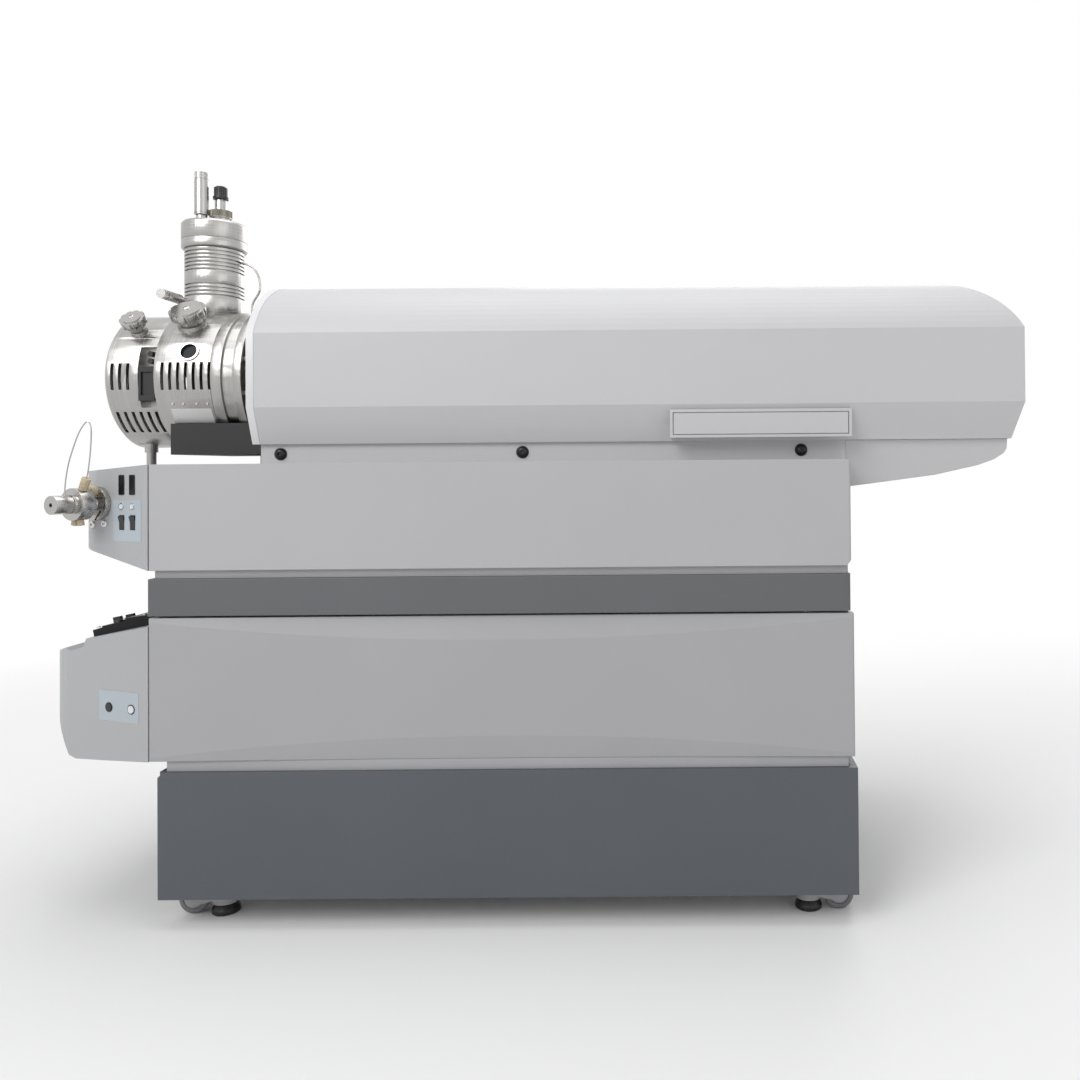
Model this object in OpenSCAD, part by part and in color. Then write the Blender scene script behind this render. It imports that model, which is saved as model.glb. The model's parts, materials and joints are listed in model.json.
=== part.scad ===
// Floor-standing triple-quadrupole mass spectrometer.
// X runs from the ion source end (-X) to the rear (+X), Y across the cabinet, Z up.
// The modules are drawn from the cabinet's front seam (x = 0), its middle plane (y = 0)
// and the floor (z = 0); place() then moves the whole so that the origin is the
// bottom centre of its bounding box. Millimetres.

/* [Cabinet] */
// Length of the cabinet from the front seam to the rear edge of its side panels
cabinet_l = 917; // [880:1:960]
// Width of the cabinet over its side panels
cabinet_w = 560; // [540:1:600]
// Depth of the moulded side panels and of the band between them
panel_d = 16; // [14:0.5:20]
// Wall of the panels and of the front mouldings
panel_wall = 4; // [3:0.5:5]
// Thickness of the sheet metal
sheet_t = 3; // [2:0.5:4]
// Height of the skirt's lower edge above the floor
floor_gap = 41; // [41:0.5:46]
// Height of the dark skirt
skirt_h = 164; // [140:1:190]
// Distance of the skirt's front face behind the front seam
skirt_inset = 12; // [6:1:16]
// Height of the groove above the skirt
base_groove = 14; // [8:1:18]
// Height of the lower side panels
lower_panel_h = 186; // [160:1:210]
// Gap between the lower panels and the band
seam_gap = 2.5; // [1.5:0.5:4]
// Height of the dark band
band_h = 48.5; // [36:0.5:60]
// Height of the groove above the band
upper_groove = 10.5; // [6:0.5:14]
// Height of the upper side panels
upper_panel_h = 138.5; // [125:0.5:160]
// How far the grooves are set back behind the panels
groove_d = 6; // [3:0.5:9]
// Depth of the hollowed facets along the lower panels' long edges
facet_d = 6; // [3:0.5:7]
// Height of the facets at mid length
facet_h = 31; // [20:1:45]
// Height of the facets at the panels' ends
facet_end = 5; // [2:1:10]
// Width of the square posts of the frame
post_w = 40; // [30:1:50]
// Thickness of the frame's floor plate
floor_plate_t = 8; // [6:1:10]

/* [Top cover] */
// Distance of the cover's front edge behind the front seam
cover_start = 112; // [104:1:120]
// Length of the cover
cover_l = 1043; // [1000:1:1080]
// Width of the cover over its flat sides
cover_w = 490; // [470:1:510]
// Height of the cover
cover_h = 228; // [224:1:240]
// Wall of the cover
cover_wall = 4; // [3:0.5:5]
// How far the sides tuck in at the lower edge
cover_tuck = 19; // [10:1:24]
// Height of the tucked-in facet
tuck_h = 49; // [40:1:60]
// Height of the upper crease above the lower edge
crease_h = 149; // [135:1:155]
// Radius of the rounded roof edges
roof_r = 130; // [110:1:140]
// Radius of the roof's front edge
brow_r = 26; // [16:1:34]
// Height of the recessed strip between the cabinet and the cover
strip_h = 26.5; // [20:0.5:32]
// Length of the bare name plate
plate_l = 243; // [200:1:260]
// Height of the bare name plate
plate_h = 38; // [30:1:42]

/* [Front mouldings] */
// How far the upper bezel reaches in front of the seam
bezel_reach = 116; // [105:1:124]
// How far the lower nose reaches in front of the seam
nose_reach = 168; // [155:1:170]
// Angle at which the side faces of both mouldings draw in
taper = 20; // [16:1:22]
// Radius of their upright front corners
corner_r = 45; // [30:1:55]

/* [Ion source] */
// Height of the source's axis above the floor
axis_z = 738; // [734:0.5:742]
// Distance of the source's free end in front of the seam
source_reach = 170; // [168:1:180]
// Radius of the end drum
end_drum_r = 104; // [98:1:106]
// Radius of the housing drum
drum_r = 108; // [104:1:109]
// Wall of the drums
drum_wall = 6; // [4:0.5:8]
// Distance of the joint between the drums in front of the seam
drum_split = 92; // [88:1:94]
// Distance of the tower's axis in front of the seam
tower_x = 56; // [50:1:60]
// Radius of the tower
tower_r = 43; // [40:0.5:45]
// Height of the tower's shoulder above the source's axis
tower_h = 226; // [215:1:235]
// Width of the vent slots
slot_w = 4.5; // [3:0.5:5]
// Spacing of the vent slots
slot_pitch = 11.7; // [11:0.1:12]

/* [Diverter valve] */
// Radius of the valve's collar
collar_r = 22.5; // [21:0.5:24]
// Radius of the valve's cylinder
stator_r = 12; // [10:0.5:13]
// Distance of the valve's tip from the bezel
valve_reach = 65; // [60:1:72]
// Radius of the gas tube on the ion source
tube_r = 1.6; // [1.5:0.1:2]
// Radius of the sample loop tube
loop_r = 0.8; // [0.7:0.1:1.2]

/* [Syringe pump] */
// Length of the pump across the nose
pump_l = 220; // [200:1:240]
// Radius of the pump's guide rods
rod_r = 3; // [2.5:0.25:3.5]
// Radius of the pump's lead screw
screw_r = 3; // [2.5:0.25:3.5]

/* [Casters] */
// Radius of the caster wheels
wheel_r = 20; // [18:0.5:20]
// Width of the caster wheels
wheel_w = 20; // [16:1:24]
// Distance of the wheel's axle from the swivel axis
wheel_trail = 40; // [40:0.5:44]
// Radius of the levelling pads
pad_r = 18; // [15:0.5:18]
// Height of the levelling pads
pad_h = 14; // [12:0.5:15]

/* [Clearances] */
// Gap between parts that slide or turn past each other
gap = 0.3; // [0.2:0.05:0.5]
// Radial clearance of a shaft in its hole
fit = 0.05; // [0.03:0.01:0.1]

/* [Hidden] */
$fn = 48;
fn_wide = 96;
eps = 0.01;

// levels of the cabinet
half_w = cabinet_w / 2;
inner_w = half_w - panel_d;
skirt_z1 = floor_gap + skirt_h;
lower_z0 = skirt_z1 + base_groove;
lower_z1 = lower_z0 + lower_panel_h;
band_z0 = lower_z1 + seam_gap;
band_z1 = band_z0 + band_h;
upper_z0 = band_z1 + upper_groove;
deck_z = upper_z0 + upper_panel_h;
cover_z0 = deck_z + strip_h;
floor_z = floor_gap + 4;
floor_top = floor_z + floor_plate_t;

// frame
bulkhead_x = panel_d;
frame_x1 = cabinet_l - 2 * sheet_t - 2;
band_x1 = cabinet_l - 4;
post_y = inner_w - post_w / 2;
rail_w = 20;
rail_lap = 12;
deck_t = 4;
shelf_t = 3;
shelf_z = lower_z0 - 2;
rack_z = shelf_z + shelf_t;

// cover
cover_hw = cover_w / 2;
cover_x1 = cover_start + cover_l;
strip_hw = cover_hw - cover_tuck - 6;
strip_wall = 6;
plinth_x0 = cover_start + 8;
screw_x = [147, 477, 857];
screw_r_cover = 4;
opening_r = drum_r + 5;

// ion source and interface
neck_x0 = 60;
flange_x0 = 27;
ring_x0 = -7;
neck_r = drum_r - 6;
bore_r = 75;
chamber_x0 = cover_start + 20;
chamber_x1 = cover_x1 - 130;
chamber_hw = 110;
chamber_z0 = cover_z0 + 6;
chamber_z1 = axis_z + 92;
pump_x = [for (f = [0.222, 0.58]) chamber_x0 + (chamber_x1 - chamber_x0) * f];
turbo_r = 72;
turbo_flange_r = 88;
turbo_h = 190;

// valve
valve_x = -82;
valve_z = 554;
valve_y = -(half_w + valve_x * tan(taper));
valve_core_r = 9;
clamp_r = 21;
nut_a = 65;
nut_l = 16;
nut_z = 29;
loop_z = 47;

// controls on the bezel's right side: u runs along the face from the seam
window_u = [46, 27];
window_z = 578.5;
button_z = 550;
button_r = 3.2;
rocker_u = [45.5, 26];
rocker_z = 529;
rocker_w = 9;
rocker_h = 19;
nose_button_u = [69, 29];
nose_button_z = 285;
nose_button_r = 5;

// rear: fan, inlet with its switch, gas and pump ports as [y, z, radius]
fan_y = inner_w - 124;
fan_z = upper_z0 + 70;
fan_r = 56;
inlet_y = -inner_w + 114;
inlet_z = lower_z0 + 34;
inlet_w = 58;
inlet_h = 30;
switch_w = 14;
switch_h = 20;
rocker_pin_r = 0.8;
rocker_pin_d = 2;
ports = [[-40, lower_z0 + 34, 14], [20, lower_z0 + 34, 14], [70, lower_z0 + 34, 6],
    [100, lower_z0 + 34, 6], [130, lower_z0 + 34, 6]];

shaft_r = 4;

// syringe pump, in a frame that leans with the nose's slope
nose_top_z = lower_z1 - 11;
nose_run = 105;
nose_drop = 21;
pump_lean = atan(nose_drop / nose_run);
pump_y0 = -236;
pump_x0 = -100;
pump_x1 = -20.5;
channel_x = [-94, -58];
rod_x = [-88, -64];
screw_x_pump = -76;
rod_z = 5.8;
carriage_l = 26;
end_block = 10;

// details of the ion source
ring_r = drum_r + 1.5;
pin_r = 4;
pin_y = 96;
probe_r = 9;
cap_z = axis_z + tower_h - 16;
cap_h = 44;
cap_r = tower_r + 4.6;
core_r = tower_r - 5;
mic_x = -72;
mic_y = -9;
knob_x = -50;
knob_y = 8;
side_mic_z = 862;
side_mic_x = -83;
latch_x = [-54, -130];
latch_a = [50, 42];
stem_r = 6;
sight_x = -42.5;
sight_a = 20;
sight_r = 12;
stub_x = -144;
stub_y = -24;
window_x = [-118, -drum_split - 1];
window_zr = [-36, 15];

// casters
caster_x = [72, cabinet_l - 56];
caster_y = half_w - 58;
foot_r = 6;
kingpin_r = 11;
kingpin_ring_r = 14;
ring_t = 4;
barrel_r = 17;
axle_r = 3;
barrel_z0 = pad_h + gap;
wheel_lift = gap;

// the bounding box is set by the source, the cover, the valve's tip and the far panels
tip_y = valve_y - valve_reach * cos(taper) - stator_r * sin(taper);
mid_x = (cover_x1 - source_reach) / 2;
mid_y = (half_w + tip_y) / 2;

module place() {
    translate([-mid_x, -mid_y, 0]) children();
}

module block(x0, x1, y0, y1, z0, z1) {
    translate([x0, y0, z0]) cube([x1 - x0, y1 - y0, z1 - z0]);
}

// a cylinder along +X from x0 to x1
module bar_x(x0, x1, r, fn = fn_wide) {
    translate([x0, 0, 0]) rotate([0, 90, 0]) cylinder(h = x1 - x0, r = r, $fn = fn);
}

// both sides of the cabinet
module both_sides() {
    children();
    mirror([0, 1, 0]) children();
}

// the four caster corners: 1 and 2 at the front, 3 and 4 at the rear
function corner_x(i) = caster_x[i < 3 ? 0 : 1];
function corner_y(i) = (i % 2 == 1 ? -1 : 1) * caster_y;

module at_corner(i) {
    translate([corner_x(i), corner_y(i), 0]) rotate([0, 0, i < 3 ? 0 : 180]) children();
}

// a smooth chain of cubic curves: each entry holds four control points
function bezier(p, t) =
    pow(1 - t, 3) * p[0] + 3 * pow(1 - t, 2) * t * p[1]
    + 3 * (1 - t) * t * t * p[2] + t * t * t * p[3];
function curve_chain(chain, steps) = concat(
    [for (c = chain) for (i = [0:steps - 1]) bezier(c, i / steps)],
    [chain[len(chain) - 1][3]]);
function unit(v) = v / norm(v);
function tangent(p, i) =
    unit(p[min(i + 1, len(p) - 1)] - p[max(i - 1, 0)]);

// a closed tube with flat ends, swept along points that never run along the side vector
module swept_tube(p, r, side, sides = 8) {
    rings = [for (i = [0:len(p) - 1])
        let (t = tangent(p, i), n = unit(cross(t, side)), b = cross(n, t))
        for (k = [0:sides - 1])
            p[i] + r * cos(360 * k / sides) * n + r * sin(360 * k / sides) * b];
    last = (len(p) - 1) * sides;
    walls = [for (i = [0:len(p) - 2]) for (k = [0:sides - 1])
        let (a = i * sides + k, b = i * sides + (k + 1) % sides)
        each [[a, b, b + sides], [a, b + sides, a + sides]]];
    polyhedron(rings, concat(
        walls,
        [[for (k = [sides - 1:-1:0]) k]],
        [[for (k = [0:sides - 1]) last + k]]));
}

// ---------------------------------------------------------------- cabinet

// a rail behind a groove: it carries the panels above and below and fills the groove
module groove_rail(z0, z1, lip_x0) {
    block(bulkhead_x, frame_x1, -inner_w, -inner_w + rail_w, z0 - rail_lap, z1 + rail_lap);
    block(lip_x0, frame_x1, -half_w + groove_d, -inner_w + 1, z0, z1);
}

module chassis_frame() color("gainsboro") difference() {
    union() {
        block(skirt_inset + sheet_t, frame_x1, -half_w + sheet_t, half_w - sheet_t,
            floor_z, floor_top);
        block(bulkhead_x, frame_x1, -inner_w, inner_w, shelf_z, rack_z);
        for (x = [bulkhead_x, frame_x1 - post_w], s = [-1, 1])
            block(x, x + post_w, s * post_y - post_w / 2, s * post_y + post_w / 2,
                floor_z, deck_z - deck_t);
        block(bulkhead_x, bulkhead_x + sheet_t, -inner_w, inner_w, floor_z, deck_z - deck_t);
        both_sides() {
            groove_rail(skirt_z1, lower_z0, skirt_inset + 9);
            groove_rail(band_z1, upper_z0, groove_d);
            block(bulkhead_x, frame_x1, -inner_w, -inner_w + rail_w,
                deck_z - deck_t - 24, deck_z - deck_t);
        }
        for (i = [1:4]) at_corner(i)
            translate([0, 0, floor_z]) cylinder(h = floor_plate_t, r = 30);
    }
    for (i = [1:4]) at_corner(i) {
        translate([0, 0, floor_z - 1]) cylinder(h = 60, r = kingpin_r + fit);
        translate([0, 0, floor_top]) cylinder(h = ring_t + gap, r = kingpin_ring_r + gap);
    }
}

module base_skirt() color("slategray") difference() {
    block(skirt_inset, cabinet_l + 3, -half_w, half_w, floor_gap, skirt_z1);
    block(skirt_inset + sheet_t, cabinet_l + 3 - sheet_t, -half_w + sheet_t,
        half_w - sheet_t, floor_gap - 1, skirt_z1 - sheet_t);
    block(bulkhead_x - eps, frame_x1 + eps, -half_w + 12, half_w - 12,
        floor_gap, skirt_z1 + 1);
    // upper front edge cut back at an angle
    both_sides() translate([skirt_inset, -half_w - 1, skirt_z1])
        rotate([0, 45, 0]) cube([9, 14, 9], center = true);
}

// The band runs round the front and both sides and is open at the rear panel.
module mid_band() color("dimgray") difference() {
    block(0, band_x1, -half_w, half_w, band_z0, band_z1);
    block(panel_d, cabinet_l, -inner_w, inner_w, band_z0 - 1, band_z1 + 1);
    // small chamfers on the upright rear corners
    both_sides() translate([band_x1, -half_w, band_z0 - 1])
        rotate([0, 0, 45]) translate([-3, -3, 0]) cube([6, 6, band_h + 2]);
}

// A side panel's blank: an open-backed moulding with rounded upright edges.
module panel_blank(x1, z0, z1) difference() {
    block(0, x1, -half_w, -inner_w, z0, z1);
    block(panel_wall, x1 - panel_wall, -half_w + panel_wall + facet_d, -inner_w + 1,
        z0 + panel_wall, z1 - panel_wall);
    for (x = [0, x1]) translate([x, -half_w, z0 - 1])
        rotate([0, 0, 45]) translate([-1.5, -1.5, 0]) cube([3, 3, z1 - z0 + 2]);
}

// A hollowed facet along the panel's edge: its crease bows away from the edge in a
// shallow arc of straight steps, and the facet leans inward towards the edge.
module facet_cut(length, z_edge) {
    lean = atan(facet_d / facet_h);
    steps = 32;
    bow = (facet_h - facet_end) * sin(lean);
    translate([length / 2, -half_w, z_edge - facet_h])
        rotate([-lean, 0, 0])
        translate([0, 0, -facet_h])
        linear_extrude(3 * facet_h)
        polygon(concat(
            [for (i = [0:steps]) let (t = 2 * i / steps - 1) [t * length / 2, -bow * t * t]],
            [[length / 2, -3 * facet_h], [-length / 2, -3 * facet_h]]));
}

module lower_panel() difference() {
    panel_blank(cabinet_l, lower_z0, lower_z1);
    facet_cut(cabinet_l, lower_z1);
    translate([0, 0, 2 * lower_z0]) mirror([0, 0, 1]) facet_cut(cabinet_l, lower_z0);
}

module upper_panel() difference() {
    panel_blank(cabinet_l - 3, upper_z0, deck_z);
    // the lower rear corner is cut back
    translate([cabinet_l - 3, -half_w, upper_z0])
        rotate([0, 45, 0]) cube([9, 2 * panel_d + 4, 9], center = true);
}

module right_upper_panel() color("lightgray") upper_panel();
module left_upper_panel() color("lightgray") mirror([0, 1, 0]) upper_panel();
module right_lower_panel() color("silver") lower_panel();
module left_lower_panel() color("silver") mirror([0, 1, 0]) lower_panel();

// vent slots of the rear panel
module vent_field(y0, z0, columns, rows) {
    for (c = [0:columns - 1], r = [0:rows - 1])
        translate([0, y0 + c * 46, z0 + r * 11]) cube([4 * sheet_t, 36, 5]);
}

module rear_panel() color("lightgray") difference() {
    block(frame_x1, frame_x1 + sheet_t, -inner_w + gap, inner_w - gap,
        skirt_z1, deck_z - deck_t);
    translate([frame_x1 - sheet_t, 0, 0]) {
        vent_field(-inner_w + 38, upper_z0 + 20, 4, 6);
        vent_field(inner_w - 234, lower_z0 + 70, 4, 6);
    }
    // fan opening, inlet opening and the holes of the gas and pump ports
    translate([0, fan_y, fan_z]) bar_x(frame_x1 - 1, frame_x1 + 9, fan_r + 2);
    block(frame_x1 - 1, frame_x1 + 9, inlet_y - inlet_w / 2 - gap, inlet_y + inlet_w / 2 + gap,
        inlet_z - inlet_h / 2 - gap, inlet_z + inlet_h / 2 + gap);
    for (p = ports) translate([0, p[0], p[1]]) bar_x(frame_x1 - 1, frame_x1 + 9, p[2] + gap, 48);
}

// Plan of a front moulding: the sides draw in by the taper and round into the front.
// inset moves the whole outline inward.
module plan(reach, inset) {
    r = corner_r - inset;
    // the corner circle touches the tapered side and the front face
    xc = -reach + corner_r;
    yc = half_w + xc * tan(taper) - corner_r / cos(taper);
    hw = half_w - inset / cos(taper);
    for (s = [-1, 1]) translate([xc, s * yc]) circle(r = r, $fn = fn_wide);
    polygon([[0, -hw], [0, hw],
        [xc - r * sin(taper), yc + r * cos(taper)],
        [xc - r * sin(taper), -yc - r * cos(taper)]]);
    translate([xc - r, -yc]) square([r, 2 * yc]);
}

// side view of the bezel between the seam and its front
module bezel_profile(inset) {
    rise = 30;
    drop = 9;
    polygon([[1, upper_z0 + inset], [1, deck_z - inset],
        [-bezel_reach - 1, deck_z - drop - inset],
        [-bezel_reach - 1, upper_z0 + rise + inset]]);
}

// side view of the nose: the pump's slope, the step, the lip, the belly and the keel
module nose_profile(inset) {
    belly_r = 210;
    intersection() {
        polygon([[1, lower_z0 + inset], [1, nose_top_z - inset], [0, nose_top_z - inset],
            [-nose_run + inset, nose_top_z - nose_drop - inset],
            [-112 + inset, nose_top_z - 37 - inset],
            [-133, nose_top_z - 39 - inset], [-142, nose_top_z - 35.5 - inset],
            [-158, nose_top_z - 41 - inset], [-nose_reach - 1, nose_top_z - 62 - inset],
            [-nose_reach - 1, lower_z0 + 60], [-136, lower_z0 - 4 + inset],
            [-124, lower_z0 - 8 + inset], [-72, lower_z0 - 5 + inset]]);
        translate([belly_r - nose_reach, nose_top_z - 78])
            circle(r = belly_r - inset, $fn = 192);
    }
}

// extrudes a side view (x, z) across the width
module across(w) {
    rotate([90, 0, 0]) linear_extrude(w, center = true) children();
}

// a place on a moulding's tapered right side: u from the seam along the face,
// z up; local +Z points out of the face
module on_side(u, z) {
    translate([-u * cos(taper), -half_w + u * sin(taper), z])
        rotate([90, 0, 0]) rotate([0, -taper, 0]) children();
}

module bezel_solid(inset) intersection() {
    translate([0, 0, upper_z0 - 1]) linear_extrude(upper_panel_h + 2)
        plan(bezel_reach, inset);
    across(cabinet_w + 2) bezel_profile(inset);
}

module nose_solid(inset) intersection() {
    translate([0, 0, lower_z0 - 20]) linear_extrude(lower_panel_h + 20)
        plan(nose_reach, inset);
    across(cabinet_w + 2) nose_profile(inset);
}

// the spigot of a front moulding, which fits between the side panels
module spigot(z0, z1) difference() {
    block(-eps, bulkhead_x, -inner_w + gap, inner_w - gap, z0, z1);
    block(-1, bulkhead_x + 1, -inner_w + gap + panel_wall, inner_w - gap - panel_wall,
        z0 + panel_wall, z1 - panel_wall);
}

// the flange at a moulding's back edge, which carries the spigot
module back_flange(z0, z1) difference() {
    block(-panel_wall, 1, -half_w, half_w, z0 - panel_wall, z1 + panel_wall);
    block(-panel_wall - 1, 2, -inner_w + gap + panel_wall, inner_w - gap - panel_wall,
        z0 + panel_wall, z1 - panel_wall);
}

module front_bezel() color("whitesmoke") difference() {
    union() {
        difference() {
            bezel_solid(0);
            difference() {
                bezel_solid(panel_wall);
                back_flange(upper_z0 + panel_wall, deck_z - panel_wall);
            }
        }
        spigot(upper_z0 + panel_wall, deck_z - panel_wall);
        // boss behind the valve's collar
        translate([valve_x, valve_y, valve_z]) rotate([90, 0, 0]) rotate([0, -taper, 0])
            translate([0, 0, -2 * panel_wall]) cylinder(h = 2 * panel_wall - 0.5, r = collar_r);
    }
    // shallow seats of the two display windows
    for (u = window_u) on_side(u, window_z) translate([-4.5, -12.5, -1]) cube([9, 25, 2]);
    for (u = rocker_u) on_side(u, rocker_z)
        translate([-rocker_w / 2 - gap, -rocker_h / 2 - gap, -40])
        cube([rocker_w + 2 * gap, rocker_h + 2 * gap, 60]);
    // pins of the rockers
    for (u = rocker_u) on_side(u, rocker_z) translate([0, 0, -rocker_pin_d])
        rotate([0, 90, 0])
        cylinder(h = rocker_w + 5, r = rocker_pin_r + fit, center = true, $fn = 24);
    for (u = window_u) on_side(u, button_z) translate([0, 0, -40])
        cylinder(h = 60, r = button_r + fit);
    translate([valve_x, valve_y, valve_z]) rotate([90, 0, 0]) rotate([0, -taper, 0])
        translate([0, 0, -30]) cylinder(h = 60, r = valve_core_r + fit);
}

module front_nose() color("whitesmoke") difference() {
    union() {
        difference() {
            nose_solid(0);
            difference() {
                nose_solid(panel_wall);
                back_flange(lower_z0 + panel_wall, nose_top_z - panel_wall);
            }
        }
        spigot(lower_z0 + panel_wall, nose_top_z - panel_wall);
    }
    for (u = nose_button_u) on_side(u, nose_button_z) translate([0, 0, -40])
        cylinder(h = 60, r = nose_button_r + fit);
}

// The deck closes the cabinet and carries the hollow plinth seen as the recessed strip.
module deck_plate() color("whitesmoke") difference() {
    union() {
        block(gap, cabinet_l - 3, -inner_w + gap, inner_w - gap,
            deck_z - deck_t, deck_z);
        difference() {
            block(plinth_x0, cabinet_l, -strip_hw, strip_hw, deck_z - 1, cover_z0);
            block(plinth_x0 + strip_wall, cabinet_l - strip_wall,
                -strip_hw + strip_wall, strip_hw - strip_wall, deck_z, cover_z0 + 1);
        }
    }
    for (x = pump_x) translate([x, 0, deck_z - 30])
        cylinder(h = 60, r = turbo_flange_r + 4, $fn = fn_wide);
    // holes of the cover's fixing screws
    for (x = screw_x) translate([x, 0, deck_z + strip_h / 2]) rotate([90, 0, 0])
        cylinder(h = cover_w, r = screw_r_cover, center = true);
}

// ---------------------------------------------------------------- top cover

// points of an arc from angle a0 to a1 in n equal steps
function arc(cx, cy, r, a0, a1, n) =
    [for (i = [0:n]) let (a = a0 + (a1 - a0) * i / n) [cx + r * cos(a), cy + r * sin(a)]];

// The roof edges round over with roof_r: their arc starts at the crease of the flat side.
roof_z = cover_h - roof_r;
roof_run = sqrt(pow(roof_r, 2) - pow(crease_h - roof_z, 2));
roof_steps = 16;
function roof_a0(inset) = acos((roof_run - inset) / (roof_r - inset));

// cross-section of the cover above its lower edge: tucked-in facet, flat side, round roof
module cover_section(inset, z0) {
    hw = cover_hw - inset;
    roof = arc(cover_hw - roof_run, roof_z, roof_r - inset, roof_a0(inset), 90, roof_steps);
    polygon(concat(
        [[hw - cover_tuck, z0], [hw, tuck_h]], roof,
        [for (i = [roof_steps:-1:0]) [-roof[i].x, roof[i].y]],
        [[-hw, tuck_h], [-hw + cover_tuck, z0]]));
}

// side view of the cover: upright front with a small brow, rear end as its sides
module cover_side(inset, z0) {
    end_tuck = 13;
    polygon(concat(
        [[cover_start + inset, z0], [cover_x1 - inset - end_tuck, z0],
            [cover_x1 - inset, tuck_h]],
        arc(cover_x1 - roof_run, roof_z, roof_r - inset, roof_a0(inset), 90, roof_steps),
        arc(cover_start + brow_r, cover_h - brow_r, brow_r - inset, 90, 180, 8)));
}

module cover_solid(inset, z0) translate([0, 0, cover_z0]) intersection() {
    translate([cover_start - 1, 0, 0]) rotate([90, 0, 90]) linear_extrude(cover_l + 2)
        cover_section(inset, z0);
    across(cover_w + 2) cover_side(inset, z0);
}

module top_cover() color("white") difference() {
    cover_solid(0, 0);
    cover_solid(cover_wall, sheet_t);
    // the lower edge keeps a flange that rests on the plinth and on the rear tray
    block(cover_start + cover_wall + 12, cover_x1 - 40, -strip_hw + 8, strip_hw - 8,
        cover_z0 - 1, cover_z0 + sheet_t + 1);
    // opening of the source interface, open downwards
    translate([0, 0, axis_z]) bar_x(cover_start - 1, cover_start + cover_wall + 1, opening_r);
    block(cover_start - 1, cover_start + cover_wall + 13, -opening_r, opening_r,
        cover_z0 - 1, axis_z);
}

// the tray runs from the cabinet to its end under the cover: f = 0 to 1
tray_x1 = cover_x1 - 16;
function tray_x(f) = cabinet_l + (tray_x1 - cabinet_l) * f;

module rear_tray() color("white") {
    w0 = strip_hw;
    w1 = strip_hw - 16;
    x1 = tray_x1;
    drop = 65;
    difference() {
        intersection() {
            across(cover_w) polygon([[cabinet_l, cover_z0], [x1, cover_z0],
                [x1, cover_z0 - 13], [tray_x(0.982), cover_z0 - 20],
                [tray_x(0.928), cover_z0 - 28], [tray_x(0.829), cover_z0 - 36],
                [tray_x(0.563), cover_z0 - 49], [tray_x(0.423), cover_z0 - 53],
                [cabinet_l, cover_z0 - drop]]);
            translate([cabinet_l - 1, 0, 0]) rotate([90, 0, 90]) linear_extrude(cover_l)
                polygon([[-w0, cover_z0 + 1], [w0, cover_z0 + 1],
                    [w1, cover_z0 - drop - 1], [-w1, cover_z0 - drop - 1]]);
        }
        // hollow from above
        across(2 * (w1 - 6)) polygon([[cabinet_l + 5, cover_z0 + 1], [x1 - 6, cover_z0 + 1],
            [x1 - 6, cover_z0 - 12], [tray_x(0.829), cover_z0 - 31],
            [tray_x(0.423), cover_z0 - 48], [cabinet_l + 5, cover_z0 - drop + 6]]);
    }
}

// y of the tucked-in facet at a height above the cover's edge
function facet_y(z) = -(cover_hw - cover_tuck * (1 - z / tuck_h));

// The bare name plate: a wedge that stands upright on the tucked-in facet.
module name_plate() color("white") {
    z0 = 3.5;
    z1 = z0 + plate_h;
    x1 = cabinet_l + 5;
    difference() {
        translate([x1 - plate_l, 0, cover_z0]) rotate([90, 0, 90]) linear_extrude(plate_l)
            polygon([[-cover_hw - 4, z0], [-cover_hw - 4, z1],
                [facet_y(z1), z1], [facet_y(z0), z0]]);
        // fine line round the face
        difference() {
            block(x1 - plate_l + 4, x1 - 4, -cover_hw - 5, -cover_hw - 3.4,
                cover_z0 + z0 + 4, cover_z0 + z1 - 4);
            block(x1 - plate_l + 5, x1 - 5, -cover_hw - 6, -cover_hw - 3,
                cover_z0 + z0 + 5, cover_z0 + z1 - 5);
        }
    }
}

// ---------------------------------------------------------------- casters and feet

// Housing of a levelling caster: a barrel on the swivel axis, a plate under the frame
// and two cheeks that carry the wheel. The wheel trails towards the cabinet's end.
module caster_fork(i) color("silver") at_corner(i) difference() {
    cheek_t = 4;
    cheek_y = wheel_w / 2 + gap + cheek_t / 2;
    union() {
        translate([0, 0, barrel_z0])
            cylinder(h = floor_z - gap - barrel_z0, r = barrel_r);
        translate([0, 0, floor_z - gap - 3]) cylinder(h = 3, r = barrel_r + 9);
        translate([0, 0, barrel_z0])
            cylinder(h = floor_top + ring_t - barrel_z0, r = kingpin_r);
        // ring that keeps the kingpin in the frame
        translate([0, 0, floor_top + gap]) cylinder(h = ring_t - gap, r = kingpin_ring_r);
        for (s = [-1, 1]) translate([0, s * cheek_y, 0]) hull() {
            translate([-8, -cheek_t / 2, 20]) cube([1, cheek_t, 19]);
            translate([-wheel_trail, cheek_t / 2, wheel_r + wheel_lift])
                rotate([90, 0, 0]) cylinder(h = cheek_t, r = 8, $fn = 32);
        }
        translate([-19, -cheek_y - cheek_t / 2, 22])
            cube([12, 2 * cheek_y + cheek_t, floor_z - gap - 22 - 3]);
        // axle of the wheel
        translate([-wheel_trail, 0, wheel_r + wheel_lift]) rotate([90, 0, 0])
            cylinder(h = 2 * cheek_y + cheek_t + 2, r = axle_r, center = true);
    }
    // space of the wheel and bore of the levelling stem
    translate([-wheel_trail, 0, wheel_r + wheel_lift]) rotate([90, 0, 0]) difference() {
        cylinder(h = wheel_w + 2 * gap, r = wheel_r + 1.2, center = true);
        cylinder(h = wheel_w + 4, r = axle_r, center = true);
    }
    cylinder(h = 100, r = foot_r + fit);
}

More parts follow.
